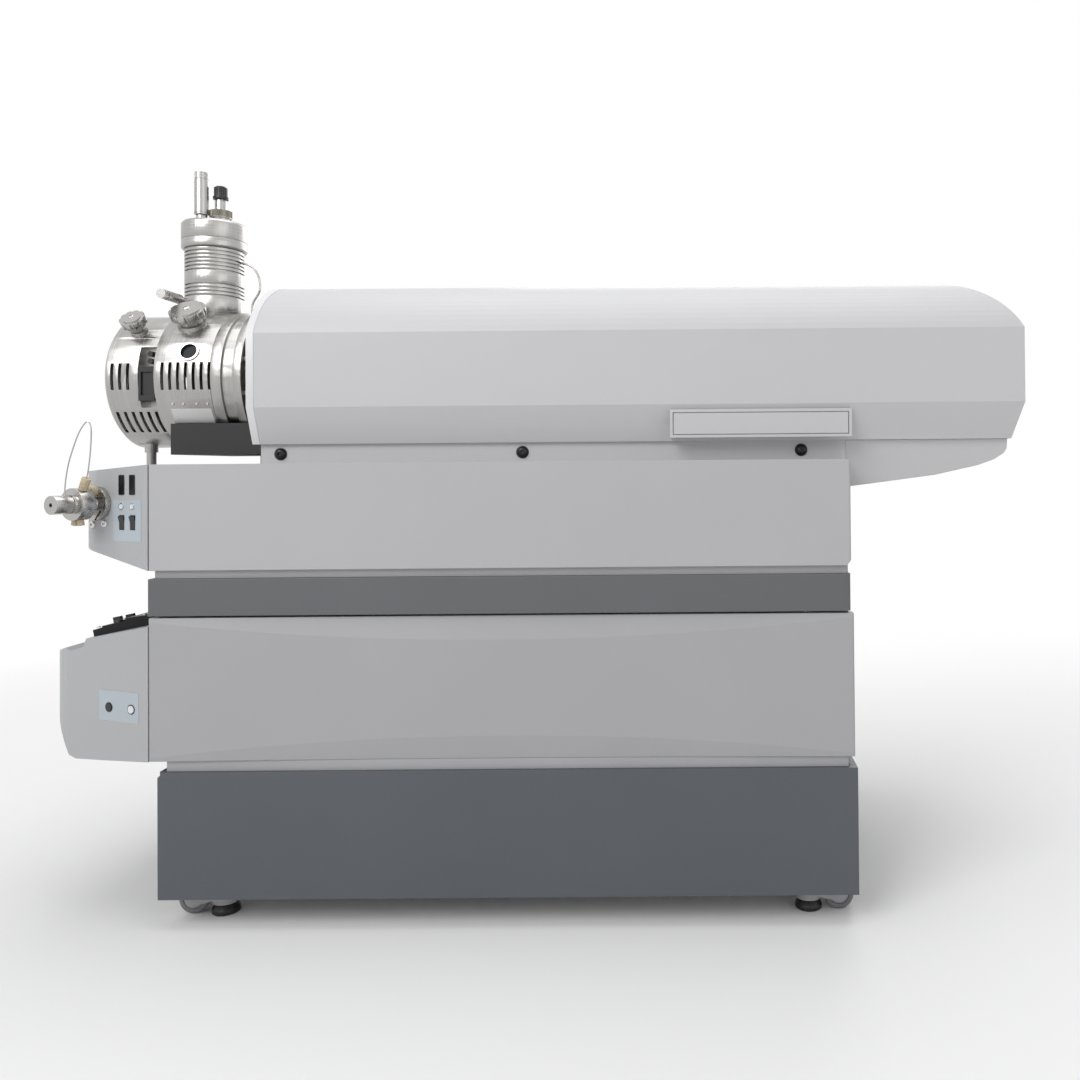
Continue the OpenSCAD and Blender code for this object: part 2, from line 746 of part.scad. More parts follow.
module caster_wheel(i) color("gray") at_corner(i)
    translate([-wheel_trail, 0, wheel_r + wheel_lift]) rotate([90, 0, 0])
    rotate_extrude($fn = fn_wide)
        polygon([[axle_r + fit, -wheel_w / 2], [7, -wheel_w / 2], [8, -wheel_w / 2 + 1.5],
            [13, -wheel_w / 2 + 1.5], [14, -wheel_w / 2], [wheel_r - 2, -wheel_w / 2],
            [wheel_r, -wheel_w / 2 + 2], [wheel_r, wheel_w / 2 - 2],
            [wheel_r - 2, wheel_w / 2], [14, wheel_w / 2], [13, wheel_w / 2 - 1.5],
            [8, wheel_w / 2 - 1.5], [7, wheel_w / 2], [axle_r + fit, wheel_w / 2]]);

module levelling_foot(i) color("black") at_corner(i) rotate_extrude()
    polygon([[0, 0], [pad_r - 1, 0], [pad_r, 1], [pad_r, 6], [pad_r - 4, pad_h - 2],
        [pad_r - 6, pad_h], [foot_r, pad_h], [foot_r, floor_top + 24], [0, floor_top + 24]]);

// ---------------------------------------------------------------- vacuum system

module turbo_hole(x, r) {
    translate([x, 0, chamber_z0 - 1]) cylinder(h = axis_z - chamber_z0, r = r, $fn = fn_wide);
}

// One machined block: a bore for the ion path, a neck towards the source,
// pump ports below and feet on the deck.
module vacuum_chamber() color("silver") difference() {
    union() {
        block(chamber_x0, chamber_x1, -chamber_hw, chamber_hw, chamber_z0, chamber_z1);
        translate([0, 0, axis_z]) bar_x(neck_x0, chamber_x0 + 1, neck_r - 6);
        translate([0, 0, axis_z]) bar_x(neck_x0, neck_x0 + 14, neck_r);
        for (x = [chamber_x0 + 30, (pump_x[0] + pump_x[1]) / 2, chamber_x1 - 70], s = [-1, 1])
            translate([x, s * (chamber_hw - 30), deck_z])
                cylinder(h = chamber_z0 - deck_z + 1, r = 14);
        for (x = [chamber_x0 + 90 : 120 : chamber_x1 - 90])
            block(x, x + 8, -chamber_hw - 6, chamber_hw + 6, chamber_z0 + 20, chamber_z1 - 20);
    }
    translate([0, 0, axis_z]) bar_x(neck_x0 + 14, chamber_x1 - 12, bore_r);
    translate([0, 0, axis_z]) bar_x(neck_x0 - 1, neck_x0 + 15, 40);
    for (x = pump_x) turbo_hole(x, turbo_r - 8);
}

// The interface: a bolted ring with cooling fins, guide sockets and the sampling cone.
module interface_flange() color("silver") translate([0, 0, axis_z]) difference() {
    union() {
        bar_x(flange_x0, flange_x0 + 12, drum_r + 4);
        bar_x(flange_x0, neck_x0, neck_r - 10);
        for (k = [0:2]) bar_x(flange_x0 + 16 + 6 * k, flange_x0 + 19 + 6 * k, neck_r + 2);
        // heads of the ring's screws
        for (a = [15:30:345]) rotate([a, 0, 0]) translate([0, neck_r - 4, 0])
            bar_x(flange_x0 + 11, neck_x0 - 3, 4.5, 24);
        // cone on the axis, pointing at the source
        translate([ring_x0 + 12, 0, 0]) rotate([0, 90, 0])
            cylinder(h = flange_x0 - ring_x0 - 11, r1 = 4, r2 = 26);
    }
    bar_x(ring_x0, flange_x0 + 20, 0.8, 16);
    bar_x(flange_x0 + 6, neck_x0 + 1, 20);
    // sockets of the source's guide pins
    for (s = [-1, 1]) translate([0, s * pin_y, 0]) bar_x(flange_x0 - 1, flange_x0 + 13, pin_r + fit);
}

// Four rods on a circle, held by two ceramic collars
module rod_set(x0, x1, circle_r, rod, collar) {
    for (a = [45:90:315]) rotate([a, 0, 0]) translate([0, circle_r, 0]) bar_x(x0, x1, rod, 32);
    for (x = [x0 + 12, x1 - 24]) difference() {
        bar_x(x, x + 12, collar);
        bar_x(x - 1, x + 13, circle_r - rod + 0.5, 32);
        for (a = [45:90:315]) rotate([a, 0, 0]) translate([0, circle_r, 0])
            bar_x(x - 1, x + 13, rod - 0.2, 32);
    }
}

// the ion path runs from the neck to the chamber's rear wall: f = 0 to 1
function along(f) = neck_x0 + 20 + (chamber_x1 - 12 - neck_x0 - 20) * f;

// ion guide, first mass filter, collision cell and second mass filter in one line
module quadrupole_set() color("goldenrod") translate([0, 0, axis_z]) {
    cell = [along(0.482), along(0.675)];
    rod_set(along(0), along(0.225), 14, 6, bore_r);
    rod_set(along(0.247), along(0.472), 17, 8, bore_r);
    // collision cell: closed barrel round a short rod set
    difference() {
        bar_x(cell[0], cell[1], bore_r);
        bar_x(cell[0] + 6, cell[1] - 6, bore_r - 12);
        bar_x(cell[0] - 1, cell[1] + 1, 4, 24);
        for (s = [-1, 1]) translate([0, 0, s * bore_r]) bar_x(cell[0] + 30, cell[1] - 30, 16);
    }
    rod_set(along(0.686), along(0.911), 17, 8, bore_r);
}

module ion_detector() color("silver") translate([0, 0, axis_z]) {
    x0 = along(0.924);
    x1 = along(1);
    difference() {
        bar_x(x0, x1, bore_r);
        bar_x(x0 - 1, x1 - 12, bore_r - 8);
    }
    difference() {
        block(x0 + 8, x1 - 1, -14, 14, -20, 20);
        block(x0 + 7, x0 + 27, -8, 8, -12, 12);
    }
}

// Two turbomolecular pumps hang through the deck below the chamber.
module turbo_pumps() color("darkgray") for (x = pump_x) translate([x, 0, 0]) {
    top = chamber_z0;
    difference() {
        union() {
            translate([0, 0, top - 12]) cylinder(h = 12, r = turbo_flange_r, $fn = fn_wide);
            translate([0, 0, top - turbo_h]) cylinder(h = turbo_h - 11, r = turbo_r, $fn = fn_wide);
            translate([0, 0, top - turbo_h - 30]) cylinder(h = 31, r = turbo_r - 14, $fn = fn_wide);
            // ribs round the motor housing
            for (k = [0:3]) translate([0, 0, top - turbo_h + 8 + 12 * k])
                cylinder(h = 4, r = turbo_r + 4, $fn = fn_wide);
            translate([0, 0, top - turbo_h + 70]) rotate([90, 0, 0])
                cylinder(h = turbo_r + 34, r = 13);
        }
        translate([0, 0, top - 60]) cylinder(h = 61, r = turbo_r - 8, $fn = fn_wide);
    }
    // bladed inlet stage
    translate([0, 0, top - 60]) cylinder(h = 52, r = 18);
    for (a = [0:30:330]) rotate([0, 0, a]) translate([17, -1, top - 60])
        cube([turbo_r - 24.9, 2, 46]);
}

// ---------------------------------------------------------------- electronics

// Power supply with a finned top, beside a rack of circuit boards in slotted rails.
module electronics_rack() color("silver") {
    supply_x = [bulkhead_x + 44, bulkhead_x + 284];
    rack_x = [supply_x[1] + 40, frame_x1 - 109];
    supply_hw = inner_w - 94;
    rail_y = inner_w - 99;
    rack_h = 150;
    board_n = 8;
    pitch = (rack_x[1] - rack_x[0] - 40) / (board_n - 1);
    block(supply_x[0], supply_x[1], -supply_hw, supply_hw, rack_z, rack_z + 120);
    for (k = [0:11]) block(supply_x[0] + 10 + 18 * k, supply_x[0] + 14 + 18 * k,
        -supply_hw + 10, supply_hw - 10, rack_z + 119, rack_z + 140);
    for (s = [-1, 1]) block(rack_x[0], rack_x[1], s * rail_y - 8, s * rail_y + 8,
        rack_z, rack_z + 16);
    for (k = [0:board_n - 1]) {
        x = rack_x[0] + 20 + pitch * k;
        block(x, x + 2, -rail_y - 7, rail_y + 7, rack_z + 15, rack_z + rack_h);
        for (y = [-110, -20, 70]) block(x + 1.9, x + 14, y, y + 42, rack_z + 50, rack_z + 98);
    }
}

module cooling_fan() color("black") translate([0, fan_y, fan_z]) {
    difference() {
        block(frame_x1 - 38, frame_x1, -fan_r - 4, fan_r + 4, -fan_r - 4, fan_r + 4);
        bar_x(frame_x1 - 39, frame_x1 + 1, fan_r - 4);
    }
    // guard: rings and spokes that carry the motor
    difference() {
        union() {
            for (k = [0:3]) difference() {
                bar_x(frame_x1, frame_x1 + sheet_t, fan_r + 1.5 - 12 * k);
                bar_x(frame_x1 - 1, frame_x1 + 5, fan_r - 4 - 12 * k);
            }
            for (a = [0, 45, 90, 135]) rotate([a, 0, 0])
                block(frame_x1, frame_x1 + sheet_t, -1.5, 1.5, -fan_r, fan_r);
            bar_x(frame_x1 - 18, frame_x1 + sheet_t, 16);
        }
        bar_x(frame_x1 - 19, frame_x1 - 5, shaft_r + fit, 24);
    }
}

module fan_rotor() color("black") translate([0, fan_y, fan_z]) {
    bar_x(frame_x1 - 32, frame_x1 - 18 - gap, 20);
    bar_x(frame_x1 - 19, frame_x1 - 6, shaft_r, 24);
    for (a = [0:51.4:359]) rotate([a, 0, 0]) translate([frame_x1 - 25, 0, 34])
        rotate([0, 0, 35]) cube([1.6, 14, 32], center = true);
}

// Mains inlet with its switch well, and the pump and gas ports under it
module rear_connectors() color("dimgray") {
    x0 = frame_x1 - 24;
    x1 = frame_x1 + sheet_t + 3;
    well_y = inlet_y + inlet_w / 4;
    difference() {
        union() {
            block(x0, frame_x1 + sheet_t, inlet_y - inlet_w / 2, inlet_y + inlet_w / 2,
                inlet_z - inlet_h / 2, inlet_z + inlet_h / 2);
            block(frame_x1 + sheet_t, x1, inlet_y - inlet_w / 2 - 4, inlet_y + inlet_w / 2 + 4,
                inlet_z - inlet_h / 2 - 4, inlet_z + inlet_h / 2 + 4);
        }
        block(x0 + 5, x1 + 1, inlet_y - inlet_w / 2 + 3, inlet_y, inlet_z - 11, inlet_z + 11);
        block(x0 + 3, x1 + 1, well_y - switch_w / 2 - gap, well_y + switch_w / 2 + gap,
            inlet_z - switch_h / 2 - gap, inlet_z + switch_h / 2 + gap);
        translate([x1 - rocker_pin_d, well_y, inlet_z]) rotate([90, 0, 0])
            cylinder(h = switch_w + 5, r = rocker_pin_r + fit, center = true, $fn = 24);
    }
    // contact blades
    for (k = [-1, 0, 1]) block(x0 + 4, x1 - 6, inlet_y - inlet_w / 4 + 1.5 + 7 * k - 1,
        inlet_y - inlet_w / 4 + 1.5 + 7 * k + 1, inlet_z - 3 + 3 * abs(k) - 3,
        inlet_z + 3 * abs(k));
    for (p = ports) translate([0, p[0], p[1]]) difference() {
        union() {
            bar_x(x0, frame_x1 + 22, p[2], 48);
            bar_x(frame_x1 + sheet_t, frame_x1 + sheet_t + 3, p[2] + 4, 48);
        }
        bar_x(x0 - 1, frame_x1 + 23, p[2] - 2.5, 48);
    }
}

// ---------------------------------------------------------------- switches and buttons

// A rocker on its pin: everything lies inside the circle that turns in its well.
// Local +Z points out of the face, Y along the rocker's height.
module rocker(w, h) {
    turn = 10;
    translate([0, 0, -rocker_pin_d]) rotate([turn, 0, 0]) {
        rotate([0, 90, 0]) linear_extrude(w, center = true) {
            intersection() {
                circle(r = h / 2, $fn = 64);
                translate([-1, -h / 2]) square([h, h]);
            }
            polygon([[0, -h / 2 + 0.2], [-3.2, -h / 2 + 0.8], [-2.4, 0],
                [-3.2, h / 2 - 0.8], [0, h / 2 - 0.2]]);
        }
        rotate([0, 90, 0]) cylinder(h = w + 4, r = rocker_pin_r, center = true, $fn = 24);
    }
}

module push_button(r) {
    translate([0, 0, -panel_wall - 3]) cylinder(h = panel_wall + 4.5, r = r);
    translate([0, 0, -panel_wall - 3]) cylinder(h = 3 - gap, r = r + 1.5);
}

module rocker_switch(i) color("black") on_side(rocker_u[i - 1], rocker_z)
    rocker(rocker_w, rocker_h);

module bezel_button(i) color("silver") on_side(window_u[i - 1], button_z)
    push_button(button_r);

module nose_button(i) color(i == 1 ? "dimgray" : "white")
    on_side(nose_button_u[i - 1], nose_button_z) push_button(nose_button_r);

module main_switch() color("black")
    translate([frame_x1 + sheet_t + 3, inlet_y + inlet_w / 4, inlet_z])
    rotate([90, 0, 90]) rocker(switch_w, switch_h);

// ---------------------------------------------------------------- diverter valve

// the valve's frame: local +Z along its axis, out of the bezel; local +Y up
module at_valve() {
    translate([valve_x, valve_y, valve_z]) rotate([90, 0, 0]) rotate([0, -taper, 0])
        children();
}

module valve_body() color("silver") at_valve() difference() {
    union() {
        cylinder(h = 8, r = collar_r);
        translate([0, 0, -30]) cylinder(h = 31, r = valve_core_r);
        // actuator behind the bezel
        translate([0, 0, -70]) cylinder(h = 56, r = 20);
        translate([0, 0, 7]) cylinder(h = 14, r = 9);
        translate([0, 0, 20]) cylinder(h = 18, r = clamp_r);
        translate([0, 0, 37]) cylinder(h = valve_reach - 37, r = stator_r);
    }
    // dark slot of the clamp, hex socket in the tip, groove round the cylinder
    translate([8, -16, 5]) rotate([0, 0, -40]) cube([3, 16, 8], center = true);
    translate([0, 0, valve_reach - 6]) cylinder(h = 7, r = 3, $fn = 6);
    translate([0, 0, 41]) difference() {
        cylinder(h = 1.5, r = stator_r + 1);
        translate([0, 0, -1]) cylinder(h = 4, r = stator_r - 1);
    }
    rotate([0, 0, nut_a]) translate([clamp_r - 6, 0, nut_z]) rotate([0, 90, 0])
        cylinder(h = 8, r = 1.7, $fn = 24);
    translate([0, stator_r - 6, loop_z]) rotate([-90, 0, 0]) cylinder(h = 8, r = loop_r + fit, $fn = 24);
}

// a finger-tight nut standing on a round surface of radius r0
module tube_nut(a, z, r0, len, r) rotate([0, 0, a]) translate([0, 0, z]) rotate([0, 90, 0])
    difference() {
        union() {
            translate([0, 0, r0]) cylinder(h = len, r = r);
            translate([0, 0, r0 + len - 4]) cylinder(h = 4, r = r - 1.2);
        }
        cylinder(h = r0 + len + 1, r = loop_r + fit, $fn = 24);
    }

module valve_fittings() color("tan") at_valve() {
    difference() {
        tube_nut(nut_a, nut_z, clamp_r + 0.2, nut_l, 5.5);
        rotate([0, 0, nut_a]) for (k = [0:11]) translate([0, 0, nut_z])
            rotate([0, 90, 0]) rotate([0, 0, 30 * k])
            translate([5.5, 0, clamp_r + 2]) cylinder(h = nut_l - 7, r = 0.5, $fn = 16);
    }
    for (a = [-78, -104]) tube_nut(a, nut_z, clamp_r + 0.2, 7, 4);
    // round knob beside the neck
    translate([2, 17, 8]) cylinder(h = 9, r = 7);
    translate([2, 17, 17]) cylinder(h = 2, r = 5.5);
}

// The loop leaves the top of the cylinder, rises, turns back and enters the nut.
module sample_loop() color("silver") at_valve() {
    end_r = clamp_r + nut_l - 3;
    out = [cos(nut_a), sin(nut_a), 0];
    tip = end_r * out + [0, 0, nut_z];
    swept_tube(curve_chain([
        [[0, stator_r - 5, loop_z], [0, 26, loop_z], [4, 50, 46.5], [10, 66, 45]],
        [[10, 66, 45], [14, 78, 44], [18, 97, 41], [24, 105, 37]],
        [[24, 105, 37], [28, 110, 35], [31, 104, 34], [29.5, 92, 33]],
        [[29.5, 92, 33], [27, 74, 31.5], tip + 14 * out, tip]], 9),
        loop_r, [0, 0, 1]);
}

// ---------------------------------------------------------------- syringe pump

// the pump's frame: local X runs up the nose's slope, Z stands off it
module at_pump() {
    translate([0, pump_y0, nose_top_z]) rotate([0, -pump_lean, 0]) children();
}

module pump_body() color("dimgray") at_pump() {
    difference() {
        rotate([-90, 0, 0]) linear_extrude(pump_l) polygon([
            [pump_x0, 0], [pump_x0, -9], [channel_x[1] + 4, -12.6], [channel_x[1] + 4, -15.8],
            [-31, -14.5], [pump_x1, -10.5], [pump_x1, 0]]);
        block(channel_x[0], channel_x[1], end_block, pump_l - end_block, 2, 30);
        // bearing holes of the lead screw
        translate([screw_x_pump, 3, rod_z]) rotate([-90, 0, 0])
            cylinder(h = pump_l - 6, r = screw_r - 1 + fit, $fn = 32);
    }
    for (x = rod_x) translate([x, end_block - eps, rod_z]) rotate([-90, 0, 0])
        cylinder(h = pump_l - 2 * end_block + 2 * eps, r = rod_r, $fn = 32);
}

module lead_screw() color("silver") at_pump() translate([screw_x_pump, 0, rod_z])
    rotate([-90, 0, 0]) {
        translate([0, 0, 4]) cylinder(h = pump_l - 8, r = screw_r - 1, $fn = 32);
        translate([0, 0, end_block + gap])
            cylinder(h = pump_l - 2 * end_block - 2 * gap, r = screw_r, $fn = 32);
    }

// The carriage rides on both rods; its tab pushes the syringe's plunger.
module pump_carriage() color("black") at_pump() difference() {
    y0 = end_block + gap;
    union() {
        block(channel_x[0] + gap, channel_x[1] - gap, y0, y0 + carriage_l, 2 + gap, 11.5);
        block(channel_x[0] + 4, channel_x[1] - 4, y0 + carriage_l - 6, y0 + carriage_l, 11, 19);
        translate([screw_x_pump, y0 + 9, 11]) cylinder(h = 4, r = 6);
    }
    for (x = rod_x) translate([x, y0 - 1, rod_z]) rotate([-90, 0, 0])
        cylinder(h = carriage_l + 2, r = rod_r + fit, $fn = 32);
    translate([screw_x_pump, y0 - 1, rod_z]) rotate([-90, 0, 0])
        cylinder(h = carriage_l + 2, r = screw_r + fit, $fn = 32);
    // notch for the plunger's head
    translate([screw_x_pump, y0 + carriage_l - 3, 18]) rotate([-90, 0, 0])
        cylinder(h = 8, r = 4, center = true, $fn = 32);
}

// ---------------------------------------------------------------- ion source

// a place on a drum's right side at an angle above the horizontal, +Z pointing outwards
module at_angle(x, a) {
    translate([x, 0, 0]) rotate([90 - a, 0, 0]) children();
}

// A row of slots cut through a drum's wall, from angle a0 to a1 below the right side.
// Angles run from the horizontal, downwards positive, and each row shows on both sides.
module slot_row(x0, n, r, a0, a1) both_sides() for (k = [0:n - 1])
    translate([x0 + k * slot_pitch, 0, 0]) rotate([0, -90, 0])
        translate([0, 0, -slot_w / 2]) rotate([0, 0, 270 - a1])
        rotate_extrude(angle = a1 - a0, $fn = fn_wide)
        translate([r - drum_wall - 1, 0]) square([drum_wall + 2, slot_w]);

// The housing drum with the two guide pins that locate it on the interface
module source_housing() color("silver") {
    housing_drum();
    for (s = [-1, 1]) translate([0, s * pin_y, axis_z]) {
        bar_x(ring_x0 + 15, flange_x0 - gap, 2 * pin_r, 32);
        bar_x(flange_x0 - 1, flange_x0 + 10, pin_r, 32);
    }
}

module housing_drum() translate([0, 0, axis_z]) difference() {
    union() {
        bar_x(-drum_split, ring_x0, drum_r);
        bar_x(ring_x0, ring_x0 + 15, ring_r);
        bar_x(ring_x0 + 14, flange_x0 - gap, ring_r - 5);
        // seats of the retaining knob and of the label
        at_angle(latch_x[0], latch_a[0]) translate([0, 0, drum_r - 6])
            cylinder(h = 10, r = 21);
    }
    bar_x(-drum_split + drum_wall, flange_x0 + 1, drum_r - drum_wall);
    bar_x(-drum_split - 1, ring_x0, 46);
    slot_row(-80, 7, drum_r, -11, 11);
    // bore under the tower, sight port, hole of the retaining knob's stem
    translate([-tower_x, 0, 0]) cylinder(h = drum_r + 1, r = core_r - 8);
    at_angle(sight_x, sight_a) cylinder(h = drum_r + 1, r = sight_r);
    at_angle(latch_x[0], latch_a[0]) translate([0, 0, drum_r - drum_wall - 6])
        cylinder(h = 24, r = stem_r + fit);
    // shallow seam where the ring starts
    difference() {
        bar_x(ring_x0 - 1.5, ring_x0, drum_r + 1);
        bar_x(ring_x0 - 2, ring_x0 + 1, drum_r - 1.5);
    }
}

// The end drum: a slotted cup with a dished end and a pocket for the window.
module source_end_drum() color("silver") {
    end_cup();
    window_pocket();
}

module end_cup() translate([0, 0, axis_z]) difference() {
    union() {
        rotate([0, 90, 0]) rotate_extrude($fn = fn_wide)
            polygon([[0, -source_reach + 4], [end_drum_r - 26, -source_reach],
                [end_drum_r - 5, -source_reach], [end_drum_r, -source_reach + 5],
                [end_drum_r, -drum_split], [0, -drum_split]]);
        at_angle(latch_x[1], latch_a[1]) translate([0, 0, end_drum_r - 6])
            cylinder(h = 12, r = 12);
        // exhaust stub with its shoulder
        translate([stub_x, stub_y, -end_drum_r - 34]) cylinder(h = 46, r = 7);
        translate([stub_x, stub_y, -end_drum_r - 8]) cylinder(h = 20, r = 9.5);
    }
    rotate([0, 90, 0]) rotate_extrude($fn = fn_wide)
        polygon([[0, -source_reach + 10], [end_drum_r - 30, -source_reach + 6],
            [end_drum_r - drum_wall - 4, -source_reach + 6],
            [end_drum_r - drum_wall, -source_reach + 10],
            [end_drum_r - drum_wall, -drum_split - 4], [46, -drum_split - 4],
            [46, -drum_split + 1], [0, -drum_split + 1]]);
    slot_row(-157, 3, end_drum_r, -11, 11);
    slot_row(-157, 6, end_drum_r, 30, 52);
    // recess beside the window
    block(window_x[0], -drum_split + 1, -end_drum_r - 2, -end_drum_r + 22, -46, 45);
    at_angle(latch_x[1], latch_a[1]) translate([0, 0, end_drum_r - drum_wall - 8])
        cylinder(h = 24, r = stem_r + fit);
    translate([stub_x, stub_y, -end_drum_r - 35]) cylinder(h = 60, r = 4.5);
}

// The pocket that holds the window block: a flat floor inside the drum's wall
module window_pocket() translate([0, 0, axis_z]) intersection() {
    bar_x(-source_reach + 20, -drum_split, end_drum_r - 1);
    difference() {
        block(window_x[0] - 4, -drum_split, -end_drum_r, -end_drum_r + 26, -50, 49);
        block(window_x[0], -drum_split + 1, -end_drum_r - 2, -end_drum_r + 22, -46, 45);
    }
}

// Window block in the recess, with the hinge pins above it
module source_window() color("black") translate([0, 0, axis_z]) {
    y1 = -end_drum_r + 22;
    difference() {
        block(window_x[0] + gap, window_x[1] - gap, -end_drum_r + 1, y1,
            window_zr[0], window_zr[1]);
        block(window_x[0] + 4, window_x[1] - 4, -end_drum_r, -end_drum_r + 4,
            window_zr[0] + 8, window_zr[1] - 8);
    }
    for (z = [window_zr[1] + 9, window_zr[1] + 20]) translate([-105, y1, z])
        rotate([90, 0, 0]) cylinder(h = 12, r = 4);
}

// The tower seats on the housing drum; rings are turned into it in two groups.
module source_tower() color("silver") translate([-tower_x, 0, axis_z]) {
    top = cap_z - axis_z;
    pitch = 5.9;
    difference() {
        union() {
            difference() {
                cylinder(h = top, r = tower_r, $fn = fn_wide);
                for (k = [0:5]) translate([0, 0, top - 8 - pitch * k]) difference() {
                    cylinder(h = 2.6, r = tower_r + 1, $fn = fn_wide);
                    translate([0, 0, -1]) cylinder(h = 5, r = tower_r - 4, $fn = fn_wide);
                }
                for (k = [0:3]) translate([0, 0, top - 60 - pitch * k]) difference() {
                    cylinder(h = 2.6, r = tower_r + 1, $fn = fn_wide);
                    translate([0, 0, -1]) cylinder(h = 5, r = tower_r - 4, $fn = fn_wide);
                }
            }
            cylinder(h = top + cap_h, r = core_r - fit, $fn = fn_wide);
            // fixed seats of the three adjusters
            translate([tower_x + mic_x, mic_y, top + cap_h - 1]) {
                cylinder(h = 14, r = 8);
                cylinder(h = 26, r = 4);
            }
            translate([tower_x + knob_x, knob_y, top + cap_h - 1]) {
                cylinder(h = 13, r = 13);
                translate([0, 0, 12]) cylinder(h = 12, r = 16);
                translate([0, 0, 23]) cylinder(h = 20, r = 8.8);
            }
            // sleeve of the side micrometer
            translate([tower_x + side_mic_x, -20, side_mic_z - axis_z]) rotate([90, 0, 0]) {
                cylinder(h = 34, r = 5.4);
                cylinder(h = 45, r = 3);
            }
        }
        bar_x(-2 * tower_r, 2 * tower_r, drum_r);
        translate([0, 0, 60]) cylinder(h = top + cap_h - 40 - 60, r = core_r - 9);
        translate([tower_r - 8, 0, 930 - axis_z]) rotate([0, 90, 0])
            cylinder(h = 12, r = tube_r + fit, $fn = 24);
    }
    // probe tube down to the source's axis
    translate([0, 0, 24]) cylinder(h = top + cap_h - 63, r = probe_r);
    translate([0, 0, 8]) cylinder(h = 17, r1 = 1.2, r2 = probe_r - 2);
}

// Retaining ring that clamps the tower's core
module tower_cap() color("silver") translate([-tower_x, 0, cap_z]) difference() {
    rotate_extrude($fn = fn_wide) polygon([[core_r, gap], [cap_r - 1.5, gap],
        [cap_r, 2], [cap_r, cap_h - 4], [cap_r - 3, cap_h - 0.5], [core_r, cap_h - 0.5]]);
    difference() {
        translate([0, 0, 14]) cylinder(h = 1.2, r = cap_r + 1, $fn = fn_wide);
        translate([0, 0, 13]) cylinder(h = 3, r = cap_r - 0.8, $fn = fn_wide);
    }
}

// A thimble with a knurled end, turned round its spindle; z0..z1 along local Z
module thimble(z0, z1, r, bore) difference() {
    union() {
        translate([0, 0, z0]) cylinder(h = z1 - z0 - 12, r = r);
        translate([0, 0, z1 - 12]) cylinder(h = 2, r = r - 1.2);
        translate([0, 0, z1 - 10]) cylinder(h = 10, r = r - 0.4);
    }
    translate([0, 0, z0 - 1]) cylinder(h = 13, r = bore + fit);
    for (k = [0:17]) rotate([0, 0, 20 * k]) translate([r - 0.3, 0, z1 - 9])
        cylinder(h = 8, r = 0.6, $fn = 16);
}

module vertical_micrometer() color("silver")
    translate([mic_x, mic_y, cap_z + cap_h + 13 + gap]) thimble(0, 67, 10.4, 4);

module side_micrometer() color("silver")
    translate([side_mic_x, -54 - gap, side_mic_z]) rotate([90, 0, 0]) thimble(0, 50, 7.4, 3);

// knurled black knob that sets the electrode's depth
module electrode_knob() color("black") translate([knob_x, knob_y, cap_z + cap_h + 32]) difference() {
    union() {
        translate([0, 0, 10 + gap]) cylinder(h = 4, r = 11.5);
        translate([0, 0, 13]) cylinder(h = 16, r = 10);
        translate([0, 0, 28]) cylinder(h = 3, r = 7);
    }
    for (k = [0:19]) rotate([0, 0, 18 * k]) translate([10.2, 0, 15])
        cylinder(h = 12, r = 0.6, $fn = 16);
}

// Retaining knob of the source: i = 1 on the housing, i = 2 on the end drum
module source_latch(i) color("silver") {
    seat = (i == 1 ? drum_r + 4 : end_drum_r + 6) + gap;
    r = i == 1 ? 26 : 18;
    neck = i == 1 ? 17 : 10;
    translate([0, 0, axis_z]) at_angle(latch_x[i - 1], latch_a[i - 1])
        difference() {
            union() {
                translate([0, 0, seat - 14]) cylinder(h = 16, r = stem_r);
                translate([0, 0, seat]) cylinder(h = 12, r = neck);
                translate([0, 0, seat + 11]) cylinder(h = 11, r = r);
                translate([0, 0, seat + 21]) cylinder(h = 3, r = r - 5);
            }
            for (k = [0:9]) rotate([0, 0, 36 * k]) translate([r + 1.2, 0, seat + 10])
                cylinder(h = 13, r = 3);
        }
}

// Black bracket under the source, standing on the deck in front of the cover
module source_cradle() color("black") {
    w = 92;
    z0 = deck_z + 16;
    z1 = axis_z - 70;
    difference() {
        union() {
            block(-76, plinth_x0 - 10, -w, w, z0, z1);
            block(44, plinth_x0 - 10, -60, 60, deck_z, z0 + 1);
        }
        translate([0, 0, axis_z]) bar_x(-80, flange_x0, ring_r + gap);
        translate([0, 0, axis_z]) bar_x(flange_x0 - eps, plinth_x0, drum_r + 4);
    }
}

// Gas tube from the tower's side to the housing's ring
module gas_tube() color("silver") swept_tube(curve_chain([
    [[-tower_x + tower_r - 6, 0, 930], [8, 0, 930], [17, 0, 912], [17, 0, 890]],
    [[17, 0, 890], [17, 0, 878], [4, 0, 870], [4, 0, 858]],
    [[4, 0, 858], [4, 0, 854], [4, 0, 850], [4, 0, axis_z + ring_r + 0.2]]], 8),
    tube_r, [0, 1, 0], 10);

place() chassis_frame();
place() base_skirt();
place() mid_band();
place() right_upper_panel();
place() left_upper_panel();
place() right_lower_panel();
place() left_lower_panel();
place() rear_panel();
place() front_bezel();
place() front_nose();
place() deck_plate();
place() top_cover();
place() rear_tray();
place() name_plate();
place() caster_fork(1);  // caster_fork_1
place() caster_fork(2);  // caster_fork_2
place() caster_fork(3);  // caster_fork_3
place() caster_fork(4);  // caster_fork_4
place() caster_wheel(1);  // caster_wheel_1
place() caster_wheel(2);  // caster_wheel_2
place() caster_wheel(3);  // caster_wheel_3
place() caster_wheel(4);  // caster_wheel_4
place() levelling_foot(1);  // levelling_foot_1
place() levelling_foot(2);  // levelling_foot_2
place() levelling_foot(3);  // levelling_foot_3
place() levelling_foot(4);  // levelling_foot_4
place() vacuum_chamber();
place() interface_flange();
place() quadrupole_set();
place() ion_detector();
place() turbo_pumps();
place() electronics_rack();
place() cooling_fan();
place() fan_rotor();
place() rear_connectors();
place() main_switch();
place() rocker_switch(1);  // rocker_switch_1
